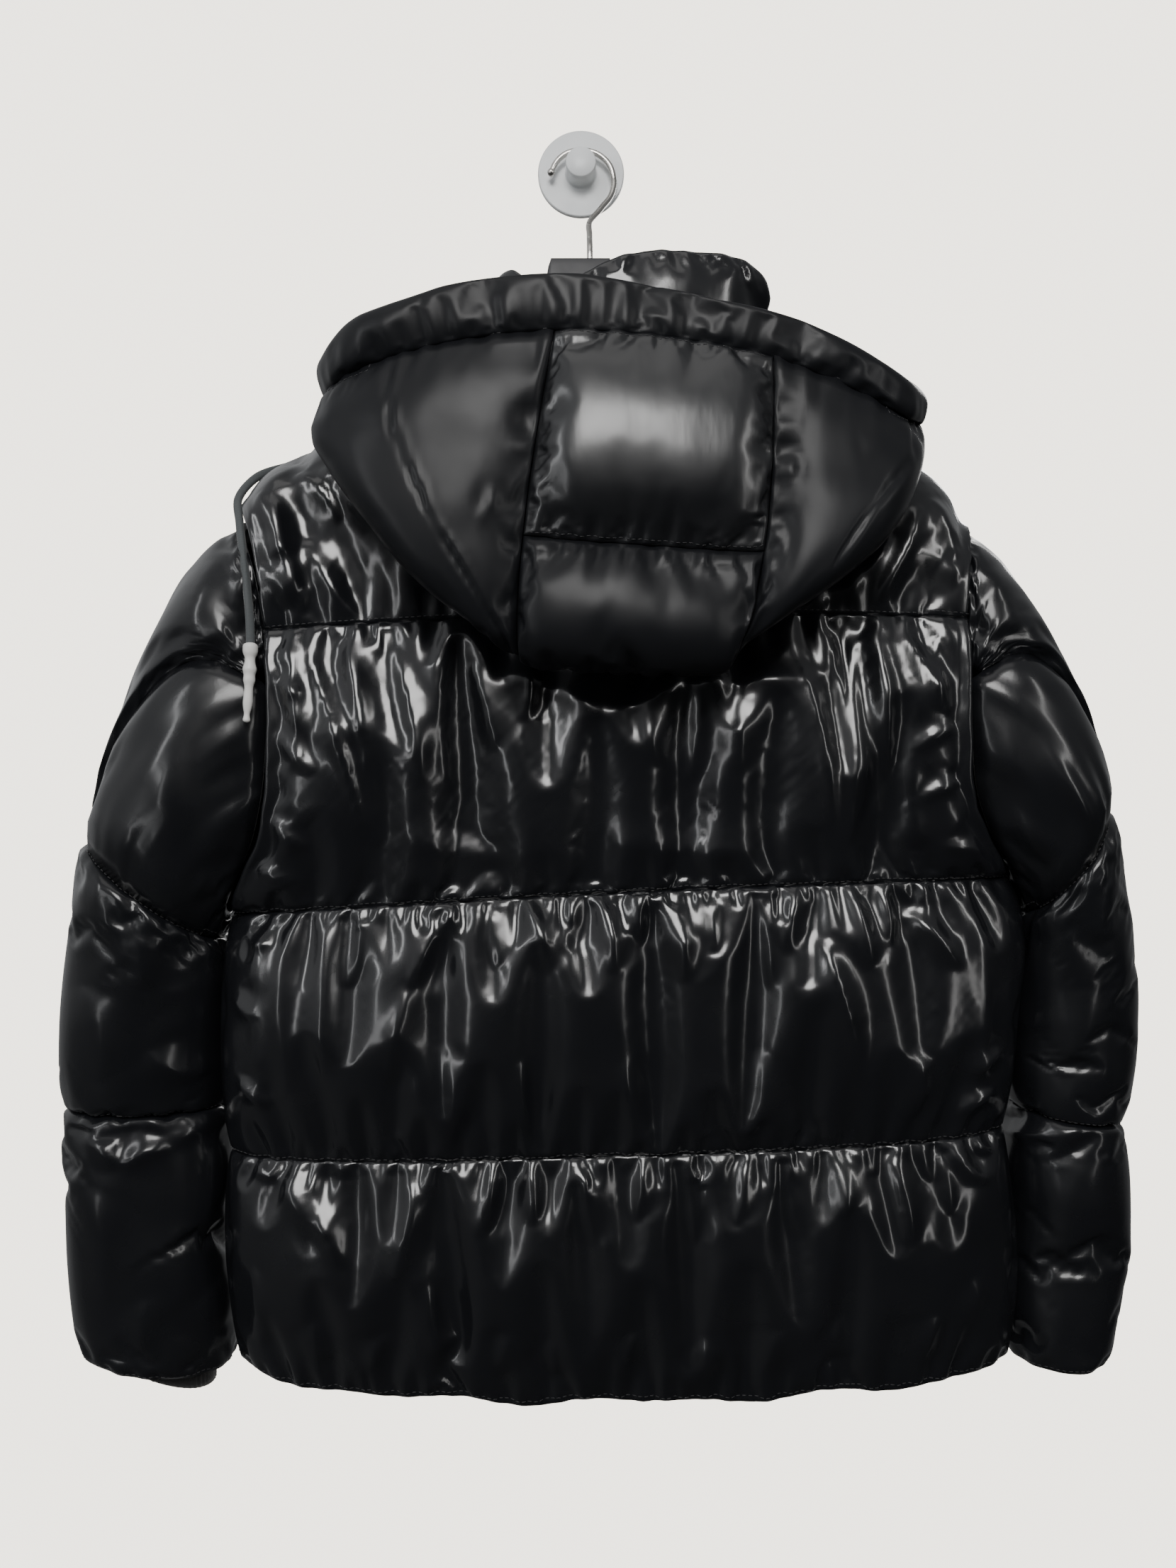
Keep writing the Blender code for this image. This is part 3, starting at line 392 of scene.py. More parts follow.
def body_depth(side, x, z, w):
    """Half depth of the body: the root of 1 - w^4 at the sides, the root of
    1 - rise^2.5 up to the shoulders, where rise is 1 at the crest."""
    deep = smooth(DEPTH, z)[..., 0 if side == "back" else 1]
    over = np.clip((z - seam_height(WAIST * np.ones(np.shape(w), int), w)) / ARM_ROUND, 0, 1)
    arm = ARM_DEPTH * np.sqrt(1 - (1 - over) ** 2)
    half = arm + (deep - arm) * np.sqrt(np.maximum(0, 1 - np.abs(w) ** 4))
    crest = ridge(x) + NECK_RISE * np.sqrt(neck_share(x))
    rise = np.clip((z - crest + 0.10) / 0.10, 0, 1)
    return half * np.sqrt(np.maximum(0, 1 - rise**2.5))


def body_point(side, w, r):
    """Plain surface of the body; r counts the seams up from the hem."""
    w = np.clip(w, -1, 1)
    r = np.clip(r, 0, 4)
    w, r = np.broadcast_arrays(w, r)
    k = np.clip(np.floor(r).astype(int), 0, 3)
    share = r - k
    share = np.where(k == YOKE, np.sin(share * math.pi / 2), share)
    up = np.minimum(k + 1, 3)
    low_l, low_r = seam_height(k, -1.0), seam_height(k, 1.0)
    top_l = np.where(k == YOKE, ARM_TOP_Z[0], seam_height(up, -1.0))
    top_r = np.where(k == YOKE, ARM_TOP_Z[1], seam_height(up, 1.0))
    left = smooth(EDGE[:, [0, 1]], low_l + (top_l - low_l) * share)[..., 0]
    right = smooth(EDGE[:, [0, 2]], low_r + (top_r - low_r) * share)[..., 0]
    x = (left + right) / 2 + (right - left) / 2 * w
    top = ridge(x) - NECK_DROP[side] * neck_share(x)
    top = np.where(k == YOKE, top, seam_height(up, w))
    low = seam_height(k, w)
    z = low + (top - low) * share
    deep = body_depth(side, x, z, w) + GAP / 2
    return np.stack([x, MID_Y + (deep if side == "front" else -deep), z], -1)


def half_width(r):
    """x of the body's left and right edge at the seam count r."""
    ends = body_point("back", np.array([-1.0, 1.0])[:, None], np.ravel(r)[None])
    return ends[0, :, 0].reshape(np.shape(r)), ends[1, :, 0].reshape(np.shape(r))


# -------------------- sleeves
def armhole(side, turn):
    """The armhole: turn 0 is the shoulder point and pi the armpit."""
    row = SLEEVE[side][0]
    middle, reach = (row[2] + row[4]) / 2, (row[2] - row[4]) / 2
    z = middle + reach * np.cos(turn)
    w = np.full(np.shape(turn), -1.0 if side == "left" else 1.0)
    x = smooth(EDGE[:, [0, 1 if side == "left" else 2]], z)[..., 0]
    deep = body_depth("back", x, z, w)
    return np.stack([x, MID_Y - deep * np.sign(np.sin(turn)), z], -1)


def sleeve_point(side, station, turn):
    """Plain surface of a sleeve: an oval between its outer and inner line at
    each station, which near the armhole changes over to the armhole's own
    line. Turn 0 is the outer line, pi the underarm."""
    station = np.clip(station, 0, 3)
    station, turn = np.broadcast_arrays(station, turn)
    row = smooth(SLEEVE[side], station)
    outer = np.stack([row[..., 0], row[..., 5], row[..., 1]], -1)
    inner = np.stack([row[..., 2], row[..., 5], row[..., 3]], -1)
    c, s = np.cos(turn)[..., None], np.sin(turn)[..., None]
    across = (outer - inner) / 2
    deep = np.stack([0 * station, -row[..., 4], 0 * station], -1)
    plain = (outer + inner) / 2 + across * c + deep * s
    first = SLEEVE[side][0]
    mid = np.array([first[1] + first[3], 2 * first[6], first[2] + first[4]]) / 2
    reach = np.array([first[1] - first[3], 0, first[2] - first[4]]) / 2
    start = mid + reach * c + np.array([0, -first[5], 0]) * s
    fade = (np.clip(1 - station / 0.8, 0, 1) ** 2)[..., None]
    under = ((1 - np.cos(turn)) / 2) ** 3 * np.clip(1 - station, 0, 1)
    clear = under * (-0.008 if side == "left" else 0.009)  # away from the body
    clear = np.stack([clear, 0 * under, 0 * under], -1)
    return plain + fade * (armhole(side, turn) - start) + clear


def off_top(turn):
    """How far a turn round the sleeve is from the outer line, 0 to pi."""
    return np.abs(np.arctan2(np.sin(turn), np.cos(turn)))


def slant(turn):
    """Station of the slanting seam: it falls evenly with the turn."""
    return np.clip(SLANT_TOP * (1 - off_top(turn) / SLANT), 0, SLANT_TOP)


# -------------------- hood
def hood_rows(a):
    """The hood's three lines at a share `a` of the way from left to right."""
    table = np.c_[np.linspace(0, 1, len(HOOD)), HOOD]
    row = smooth(table, np.clip(a, 0, 1))
    return row[..., 0:3], row[..., 3:6], row[..., 6:9]


def hood_point(a, b):
    """Plain surface of the hood: half an oval from the brim seam (b 0) round the
    low line (b 1) to the neck (b 2), moved clear of the padded back."""
    brim, low, neck = hood_rows(a)
    turn = np.clip(b, 0, 2) * math.pi / 2
    c = squared(np.cos(turn), 0.85)[..., None]
    s = (np.abs(np.sin(turn)) ** 0.85)[..., None]
    middle = (brim + neck) / 2
    plain = middle + (brim - neck) / 2 * c + (low - middle) * s
    side = np.clip(np.abs(a - 0.5) / 0.5 - 0.35, 0, 1) * 2
    over = np.clip(b, 0, 1)
    swell = np.sin(math.pi * over) ** 1.2 * np.minimum(1, side) * 0.014
    up = np.clip((np.abs(a - 0.5) - 0.27) / 0.09, 0, 1)
    return rest_on_body(plain, HOOD_CLEAR + swell, up * up * (3 - 2 * up))


def beside(point, spare):
    """Below 1 inside the padded body with `spare` round it, above 1 outside."""
    x, y, z = point[..., 0], point[..., 1] - MID_Y, point[..., 2]
    edge = ridge(x) - NECK_DROP["back"] * neck_share(x)
    puff = YOKE_PUFF * np.sqrt(np.clip((edge - z) / 0.02, 0, 1))
    deep = smooth(DEPTH, z)[..., 0] + SEAM + puff + spare
    crest = ridge(x) + NECK_RISE * np.sqrt(neck_share(x)) + SEAM + 0.7 * YOKE_PUFF + spare
    rise = np.clip((z - crest + 0.11) / 0.11, 0, 3)
    level = np.sqrt(np.abs(y / deep) ** 2.6 + rise**3.4)
    return np.where((neck_share(x) > 0) & (z > edge), 2, level)


def rest_on_body(point, spare, up):
    """Moves points out of the padded body: upwards where `up` is 1, else
    backwards, by the least distance, found by halving."""
    way = unit(np.stack([0 * up, up - 1, up], -1))
    low, high = np.zeros(point.shape[:-1]), np.full(point.shape[:-1], 0.2)
    for _ in range(24):
        half = (low + high) / 2
        clear = beside(point + way * half[..., None], spare) > 1
        low, high = np.where(clear, low, half), np.where(clear, half, high)
    moved = np.where(beside(point, spare) > 1, 0, high)
    return point + way * moved[..., None]


def calm(normal, rounds):
    """Evens out a grid of normals and leaves its edges as they are: each
    becomes the mean of itself and its four neighbours."""
    for _ in range(rounds):
        down = normal[:-2, 1:-1] + normal[2:, 1:-1]
        across = normal[1:-1, :-2] + normal[1:-1, 2:]
        normal = normal.copy()
        normal[1:-1, 1:-1] = unit(normal[1:-1, 1:-1] + down + across)
    return normal


def brim_route():
    """Middle of the brim, from the zip round the mouth and back."""
    brim, low, _ = hood_rows(np.linspace(0, 1, 13))
    lift = unit(brim - low) * 0.35 + np.array([0, 0, 0.65])
    over = brim + unit(lift) * (BRIM_TALL / 2 + 0.0026)
    route = np.concatenate([[BRIM_START], over, [BRIM_STOP]])
    return along(route, 38)


# -------------------- collar
def collar_point(t, q):
    """Plain inner surface of the collar: the neck's line at q 0, the table's
    height at q 1, wider upwards, and widest where the right side leans out.
    t runs round from the zip by the left."""
    t = np.clip(t, 0, 1)
    turn = 2 * math.pi * t
    x = NECK_X - COLLAR_HALF * np.sin(turn)
    front = np.cos(turn) > 0
    drop = np.where(front, NECK_DROP["front"], NECK_DROP["back"])
    z = ridge(x) - drop * np.cos(turn) ** 2
    w = (x - 0.03) / 0.26
    deep = np.where(front, body_depth("front", x, z, w), body_depth("back", x, z, w))
    y = MID_Y + deep * np.sign(np.cos(turn))
    top = smooth(COLLAR, t)[..., 0]
    low = z + np.where(front, 0.0025, 0.0014)
    lean = COLLAR_LEAN * np.exp(-(((t - 0.715) / 0.075) ** 2))
    wide = 1 + (0.06 + lean) * q
    return np.stack(
        [
            NECK_X + (x - NECK_X) * wide,
            MID_Y + (y - MID_Y) * (1 + 0.02 * q),
            low + (top - low) * q,
        ],
        -1,
    )


EYELET_AT = 0.085  # share of the way along the brim, from its left end


def eyelet_place():
    """Middle of the brim's outer face at the eyelet, and the way it faces."""
    route = brim_route()
    k = int(EYELET_AT * len(route))
    ahead = unit(route[k + 1] - route[k - 1])
    face = unit(np.cross(ahead, (0, 0, 1.0)))
    face = face * np.sign(face @ (route[k] - np.array([NECK_X, MID_Y, route[k][2]])))
    return route[k] + face * (BRIM_THICK / 2 + GAP), face


def zip_line(count):
    """Middle line of the zip, from the hem to the top of the collar."""
    r = np.linspace(0.004, 3.985, count - 4)
    left, right = half_width(r)
    w = (ZIP_X - (left + right) / 2) / ((right - left) / 2)
    body = body_point("front", w, r)
    neck = collar_point(np.zeros(4), np.linspace(0.08, 0.98, 4))
    line = np.concatenate([body, neck])
    line[:, 0] = ZIP_X
    return line


# -------------------- grids
def sweep(route, profile, up):
    """Rings of a flat profile (side, up) carried along a route."""
    ahead = unit(np.gradient(route, axis=0))
    side = unit(np.cross(ahead, up))
    lift = unit(np.cross(side, ahead))
    profile = np.asarray(profile)
    return (
        route[:, None]
        + side[:, None] * profile[None, :, :1]
        + lift[:, None] * profile[None, :, 1:]
    )


def even(surface, count):
    """Values of a surface's first number, at equal lengths along its middle row."""
    fine = np.linspace(0, 1, 800)
    run = run_of(surface(fine, np.full(800, 0.5)))
    return np.interp(np.linspace(0, run[-1], count), run, fine)


def lengths(grid, axis):
    """Length along a grid's rows (axis 1) or columns (axis 0), from its start."""
    step = np.linalg.norm(np.diff(grid, axis=axis), axis=-1)
    start = np.zeros_like(np.take(step, [0], axis))
    return np.concatenate([start, np.cumsum(step, axis)], axis)


def soft_noise(shape, cells, seed):
    """Smooth random heights between -1 and 1: a coarse grid, cubic between."""
    rng = np.random.default_rng(seed)
    rows, cols = max(4, int(cells[0])), max(4, int(cells[1]))
    coarse = rng.uniform(-1, 1, (rows, cols))
    for axis, count in ((0, shape[0]), (1, shape[1])):
        coarse = cubic(coarse, np.linspace(0, coarse.shape[axis] - 1, count), axis)
    return coarse


def cubic(values, at, axis=0, ring=False):
    """Catmull-Rom values of a grid at the given places along an axis."""
    values = np.moveaxis(np.asarray(values, float), axis, 0)
    count = len(values)
    k = np.floor(at).astype(int)
    t = (at - k).reshape((-1,) + (1,) * (values.ndim - 1))
    pick = [k - 1, k, k + 1, k + 2]
    if ring:
        p = [values[i % count] for i in pick]
    else:
        first = 2 * values[0] - values[1]
        last = 2 * values[-1] - values[-2]
        values = np.concatenate([first[None], values, last[None], last[None]])
        p = [values[np.clip(i + 1, 0, count + 1)] for i in pick]
    made = 0.5 * (
        2 * p[1]
        + (p[2] - p[0]) * t
        + (2 * p[0] - 5 * p[1] + 4 * p[2] - p[3]) * t**2
        + (3 * p[1] - p[0] - 3 * p[2] + p[3]) * t**3
    )
    return np.moveaxis(made, 0, axis)


def twice(grid, ring):
    """The grid with a point added between each two, on smooth curves."""
    rows, cols = grid.shape[:2]
    grid = cubic(grid, np.linspace(0, rows - 1, 2 * rows - 1), 0)
    if ring:
        return cubic(grid, np.arange(2 * cols) / 2, 1, True)
    return cubic(grid, np.linspace(0, cols - 1, 2 * cols - 1), 1)


def quads(index, ring=False):
    """Faces of a grid of point numbers."""
    if ring:
        index = np.concatenate([index, index[:, :1]], 1)
    corners = (index[:-1, :-1], index[:-1, 1:], index[1:, 1:], index[1:, :-1])
    return np.stack(corners, -1).reshape(-1, 4)


def capped(rings):
    """Points and faces of a tube of rings, its ends closed by fans of triangles
    round the middles of the first and the last ring."""
    rows, sides = rings.shape[:2]
    index = np.arange(rows * sides).reshape(rows, sides)
    points = np.concatenate([rings.reshape(-1, 3), rings[[0, -1]].mean(axis=1)])
    faces = [quads(index, True)]
    for number, row, turn in ((0, index[0], -1), (1, index[-1], 1)):
        tip = np.full(sides, rows * sides + number)
        faces.append(np.stack([tip, row, np.roll(row, -1)], -1)[:, ::turn])
    return points, faces


def copies(shape, triangles, place, x, y, z):
    """A small shape at each place: the place plus the shape's three numbers
    times the three ways there."""
    points = (
        place[:, None]
        + shape[None, :, :1] * x[:, None]
        + shape[None, :, 1:2] * y[:, None]
        + shape[None, :, 2:] * z[:, None]
    )
    number = np.arange(len(place))[:, None, None] * len(shape)
    return points, [(triangles[None] + number).reshape(-1, 3)]


def ladder(high, low):
    """Triangles that join two lines of point numbers, the first the longer."""
    near = np.round(np.arange(len(high)) * (len(low) - 1) / (len(high) - 1)).astype(int)
    first = np.stack([high[:-1], high[1:], low[near[:-1]]], -1)
    turn = near[1:] > near[:-1]
    second = np.stack([high[1:], low[near[1:]], low[near[:-1]]], -1)[turn]
    return np.concatenate([first, second])


def room_inside(points, faces):
    """Six times the room inside a closed mesh: the sum of a . (b x c)."""
    total = 0.0
    for face in faces:
        for k in range(1, face.shape[1] - 1):
            a, b, c = points[face[:, 0]], points[face[:, k]], points[face[:, k + 1]]
            total += np.sum(a * np.cross(b, c))
    return total


def new_object(name, points, faces, look, smooth_faces=True, closed=True):
    """A mesh object of whole arrays; faces is a list of arrays of 3 or 4 columns.

    A closed shape whose faces look inwards is turned round."""
    points = np.asarray(points, float).reshape(-1, 3)
    if closed and room_inside(points, faces) < 0:
        faces = [face[:, ::-1] for face in faces]
    mesh = bpy.data.meshes.new(name)
    corners = np.concatenate([np.ravel(f) for f in faces]).astype(np.int32)
    sizes = np.concatenate([np.full(len(f), f.shape[1]) for f in faces])
    starts = np.r_[0, np.cumsum(sizes)[:-1]].astype(np.int32)
    points = np.asarray(points, np.float32).reshape(-1, 3)
    mesh.vertices.add(len(points))
    mesh.vertices.foreach_set("co", points.ravel())
    mesh.loops.add(len(corners))
    mesh.loops.foreach_set("vertex_index", corners)
    mesh.polygons.add(len(sizes))
    mesh.polygons.foreach_set("loop_start", starts)
    mesh.polygons.foreach_set("use_smooth", np.full(len(sizes), smooth_faces))
    mesh.update(calc_edges=True)
    mesh.validate()
    obj = bpy.data.objects.new(name, mesh)
    bpy.context.scene.collection.objects.link(obj)
    if look:
        mesh.materials.append(look)
    return obj


def point_value(obj, name, values):
    """A number at each point, which materials read by its name."""
    made = obj.data.attributes.new(name, "FLOAT", "POINT")
    made.data.foreach_set("value", np.asarray(values, np.float32).ravel())


def closed_wall(name, outside, inside, look, ring, values=None):
    """A closed piece: outer grid, plain inner grid of as many columns, rims."""
    rows, cols = outside.shape[:2]
    low = inside.shape[0]
    outer = np.arange(rows * cols).reshape(rows, cols)
    inner = rows * cols + np.arange(low * cols).reshape(low, cols)
    faces = [quads(outer, ring), quads(inner, ring)[:, ::-1]]
    faces.append(quads(np.stack([inner[0], outer[0]]), ring))
    faces.append(quads(np.stack([outer[-1], inner[-1]]), ring))
    if not ring:
        faces.append(ladder(outer[:, 0], inner[:, 0]))
        faces.append(ladder(outer[:, -1], inner[:, -1])[:, ::-1])
    points = np.concatenate([outside.reshape(-1, 3), inside.reshape(-1, 3)])
    obj = new_object(name, points, faces, look)
    if values is not None:
        flat = np.concatenate([values.ravel(), np.zeros(low * cols)])
        point_value(obj, "crease", flat)
    return obj


def face_turn(outside, inside):
    """1 where the outer grid's faces already look away from the inner grid."""
    rows, cols = outside.shape[:2]
    i, j = rows // 2, cols // 2
    across = outside[i, (j + 1) % cols] - outside[i, j]
    up = outside[min(i + 1, rows - 1), j] - outside[i, j]
    away = outside[i, j] - inside[inside.shape[0] // 2, j]
    return 1 if np.cross(across, up) @ away > 0 else -1


# -------------------- padded cloth
class Skin:
    """A padded piece: plain grid, outward normals, height of each point.

    `more` says how it is cut and blown up: `gather` and `ease`, how much longer
    the cloth is than its seams; `form`, how it is cut; `bending`, its stiffness;
    `full`, its height as a share of `rise`; `plain`, how far the cloth's own
    shape is evened out; `tight`, its least height; `wide`, the width of its
    first unevenness; `slot`, not used."""

    def __init__(self, name, surface, normals, rise, step, look, ring=False, **more):
        self.name, self.look, self.ring = name, look, ring
        self.more = more
        a = np.linspace(0, 1, 40)
        half = np.full(40, 0.5)
        wide, tall = run_of(surface(a, half))[-1], run_of(surface(half, a))[-1]
        cols, rows = int(wide / step) + 1, max(int(tall / step) + 1, 7)
        if ring:
            at = np.linspace(0, 1, cols, endpoint=False)
        else:
            at = even(surface, cols)
        self.a, self.b = np.meshgrid(at, np.linspace(0, 1, rows))
        self.base = surface(self.a, self.b)
        self.normal = normals(self.a, self.b, self.base)
        self.rise = rise(self.a, self.b)
        up, across = lengths(self.base, 0), lengths(self.base, 1)
        away = np.minimum(up, up[-1:] - up)
        if not ring:
            away = np.minimum(away, np.minimum(across, across[:, -1:] - across))
        self.away = away  # length to the nearest sewn edge
        self.up, self.across = up, across

    def cut(self, points):
        """The cloth as cut: longer than its sewn edges by `gather` across and
        by `ease` up. A body panel grows from its middle, a tube from its
        rings' middles, and a curved piece all ways."""
        gather = self.more["gather"]
        if self.more["form"] == "curved":
            middle = points.mean(axis=(0, 1))
            return middle + (points - middle) * (1 + gather)
        middle = points.mean(axis=1, keepdims=True)
        grow = np.array([1 + gather, 1 + (gather if self.ring else 0), 1])
        made = middle + (points - middle) * grow
        made[..., 2] += (points[..., 2] - points[..., 2].mean()) * self.more["ease"]
        return made

    def waves(self, seed):
        """Ripples of a gathered edge: three sines along it, of 34, 21 and 14 mm,
        bent by smooth noise where the piece isn't a ring."""
        rng = np.random.default_rng(seed)
        total = self.across.max()
        made = np.zeros(self.a.shape)
        for size, share in ((0.034, 0.5), (0.021, 0.8), (0.014, 0.6)):
            turns = max(2, round(total / size)) if self.ring else total / size
            bend = soft_noise(self.a.shape, (4, total / 0.08 + 4), int(rng.integers(1e6)))
            if self.ring:
                bend = bend * 0
            angle = 2 * math.pi * turns * self.across / total
            made += share * np.sin(angle + 2.5 * bend + rng.uniform(0, 6))
        return made

    def uneven(self, wide, seed):
        """Smooth noise with cells of 50 mm up and `wide` across; it fades out
        where a ring closes."""
        noise = soft_noise(self.a.shape, (self.up.max() / 0.05, self.across.max() / wide), seed)
        if self.ring:
            noise *= np.minimum(1, 12 * np.minimum(self.a, 1 - self.a))
        return noise

    def raised(self, high):
        """The plain grid moved out along its normals by a height at each point."""
        return self.base + self.normal * high[..., None]

    def start(self, seed):
        """Points before the cloth is blown up: 0.6 of the rise, uneven inside
        and rippled at the edges."""
        noise = self.uneven(self.more.get("wide", 0.016), seed)
        edge = np.exp(-((self.away / 0.010) ** 2))
        ripple = self.waves(seed + 1) * 0.0007 * edge
        return self.raised(SEAM + 0.6 * self.rise + noise * 0.0014 * (1 - edge) + ripple)

    def by_hand(self, seed):
        """The blown-up shape by formula, without working out the cloth."""
        gather = np.exp(-self.away / 0.020) * (1 - np.exp(-self.away / 0.003))
        ripple = self.waves(seed + 1) * 0.0045 * gather
        noise = self.uneven(0.05, seed)
        return self.raised(SEAM + self.rise * (1 + 0.12 * noise) + ripple)


THINNEST = 0.0017  # cloth at the bottom of a fold
SEWN_BY, FRAMES = 9, 26  # the edges draw in until the first, then all settles


def cloth_object(skin, seed):
    """The skin as cloth: cut long, its edges drawn in to the seams, blown up."""
    sewn = skin.start(seed)
    index = np.arange(skin.a.size).reshape(skin.a.shape)
    faces = quads(index, skin.ring)
    if face_turn(sewn, skin.base) < 0:
        faces = faces[:, ::-1]
    obj = new_object("cloth_" + skin.name, skin.cut(sewn), [faces], None, closed=False)
    held = (skin.away < 1e-6) | skin.more.get("hold", False)
    pin = obj.vertex_groups.new(name="pin")
    pin.add(np.nonzero(held.ravel())[0].tolist(), 1.0, "REPLACE")
    obj.shape_key_add(name="cut")
    key = obj.shape_key_add(name="sewn")
    key.data.foreach_set("co", sewn.astype(np.float32).ravel())
    for value, number in ((0, 1), (1, SEWN_BY)):
        key.value = value
        key.keyframe_insert("value", frame=number)
    cloth = obj.modifiers.new("Cloth", "CLOTH")
    s = cloth.settings
    s.vertex_group_mass = "pin"
    s.quality = 5
    s.use_pressure = True
    s.uniform_pressure_force = skin.more.get("pressure", 12)
    s.effector_weights.gravity = 0
    s.tension_stiffness = s.compression_stiffness = 15
    s.shear_stiffness = 5
    s.bending_stiffness = skin.more["bending"]
    s.mass = 0.15
    s.air_damping = 1.0
    cloth.collision_settings.use_collision = False
    cloth.point_cache.frame_end = 60
    return obj


def blow_up(skins):
    """Works out all the cloth together and keeps each skin's points."""
    scene = bpy.context.scene
    objects = [cloth_object(skin, 100 * k) for k, skin in enumerate(skins)]
    for number in range(1, FRAMES + 1):
        scene.frame_set(number)
    graph = bpy.context.evaluated_depsgraph_get()
    for skin, obj in zip(skins, objects):
        made = obj.evaluated_get(graph).to_mesh()
        flat = np.empty(len(made.vertices) * 3, np.float32)
        made.vertices.foreach_get("co", flat)
        skin.points = flat.reshape(skin.a.shape + (3,)).astype(float)
    scene.frame_set(1)
    for obj in objects:
        mesh = obj.data
        action = mesh.shape_keys.animation_data.action
        bpy.data.objects.remove(obj, do_unlink=True)
        bpy.data.meshes.remove(mesh)
        bpy.data.actions.remove(action)


def parted(skin):
    """The blown-up points as heights over the plain grid and moves along it."""
    moved = skin.points - skin.base
    high = np.sum(moved * skin.normal, -1)
    return high, moved - high[..., None] * skin.normal


def settle(skin):
    """Brings the cloth's height to the piece's own, and never into its inside.

    Heights are scaled until their 97th percentile is the piece's rise, mixed
    with the plain rise by the piece's `plain`, and pressed down above a cap."""
    high, flat = parted(skin)
    reach = np.percentile(high, 97) - SEAM
    want = skin.rise.max() * skin.more.get("full", 1.0)
    share = min(1.0, want / max(reach, 1e-6))
    high = SEAM + (high - SEAM) * share
    cap = SEAM + skin.rise * 1.12 + 0.0025
    plain = skin.more.get("plain", 0) * np.clip((skin.away - 0.006) / 0.022, 0, 1)
    high = high * (1 - plain) + (SEAM + skin.rise * 0.97) * plain
    over = 0.05 if "hood_side" in skin.name else 0.25  # share kept above the cap
    high = np.where(high > cap, cap + (high - cap) * over, high)
    if skin.more["form"] == "panel":  # full up to the side seams
        aside = np.minimum(skin.across, skin.across[:, -1:] - skin.across)
        high = np.maximum(high, np.exp(-((aside / 0.022) ** 2)) * (SEAM + 0.9 * skin.rise))
    if "tight" in skin.more:  # a narrow seam in a full sleeve
        near = 1 - np.exp(-((skin.away / 0.005) ** 2))
        high = np.maximum(high, SEAM + skin.more["tight"] * near)
    if skin.more["form"] == "curved":
        far = np.clip((skin.away - 0.006) / 0.012, 0, 1)
        high = high + (softer(high, skin.ring) - high) * far
        flat = flat + (softer(flat, skin.ring) - flat) * far[..., None]
    return np.maximum(high, THINNEST), flat


def softer(values, ring):
    """A grid evened out once along its rows and twice along its columns: each
    value becomes half itself and a quarter of each neighbour."""
    if ring:
        values = (np.roll(values, 1, 1) + 2 * values + np.roll(values, -1, 1)) / 4
    else:
        made = values.copy()
        made[:, 1:-1] = (values[:, :-2] + 2 * values[:, 1:-1] + values[:, 2:]) / 4
        values = made
    for _ in range(2):
        made = values.copy()
        made[1:-1] = (values[:-2] + 2 * values[1:-1] + values[2:]) / 4
        values = made
    return values


def fold(points, table):
    """Heights of folds: each row runs from one point to another, bowed
    sideways; across it the height is e^-|d/w|^1.45 less a hollow beside it."""
    at = points[..., [0, 2]]
    total = np.zeros(at.shape[:-1])
    for x0, z0, x1, z1, bow, wide, high in table:
        a, b = np.array([x0, z0]), np.array([x1, z1])
        run = np.linalg.norm(b - a)
        way = (b - a) / run
        side = np.array([-way[1], way[0]])
        t = (at - a) @ way / run
        d = (at - a) @ side - bow * 4 * t * (1 - t)
        ends = np.clip(4.2 * t * (1 - t), 0, 1) ** 0.8
        slim = wide * (0.45 + 0.55 * ends)
        hollow = 0.45 * np.exp(-(((d - 2.1 * slim) / (1.5 * slim)) ** 2))
        shape = np.exp(-(np.abs(d / slim) ** 1.45)) - hollow
        total += high * shape * ends
    return total


# The hood's narrowing: height, left edge's x and how far it is drawn in, right
# edge's x and how far it is drawn in.
HOOD_TAPER = (
    (-0.3847, -0.0437, 0.0052, 0.1168, 0.0205),
    (-0.3753, -0.0608, 0.0104, 0.1292, 0.0274),
    (-0.3504, -0.0968, 0.0195, 0.1699, 0.0260),
    (-0.3372, -0.1088, 0.0205, 0.1840, 0.0240),
    (-0.3183, -0.1302, 0.0222, 0.1998, 0.0206),
    (-0.3038, -0.1417, 0.0212, 0.2080, 0.0180),
    (-0.2862, -0.1516, 0.0164, 0.2152, 0.0144),
    (-0.2648, -0.1614, 0.0096, 0.2152, 0.0088),
    (-0.2520, -0.1614, 0.0031, 0.2152, 0.0056),
    (-0.2392, -0.1614, 0.0000, 0.2152, 0.0027),
    (-0.2200, -0.1614, 0.0000, 0.2152, 0.0000),
)
HOOD_FOOT = (-0.0210, 0.0880)  # x of the centre pieces' seams


def drawn_in(points):
    """The hood narrows to its foot: x moves to the middle by the drawing-in at
    that height times share^1.4, where share runs from 0 at the centre piece's
    seam to 1 at the outer edge."""
    z, left, left_in, right, right_in = np.array(HOOD_TAPER).T
    made = points.copy()
    for seam, edge, draw in zip(HOOD_FOOT, (left, right), (left_in, -right_in)):
        edge_here = np.interp(points[..., 2], z, edge)
        share = np.clip((points[..., 0] - seam) / (edge_here - seam), 0, 1.2) ** 1.4
        made[..., 0] += np.interp(points[..., 2], z, draw) * share
    return made


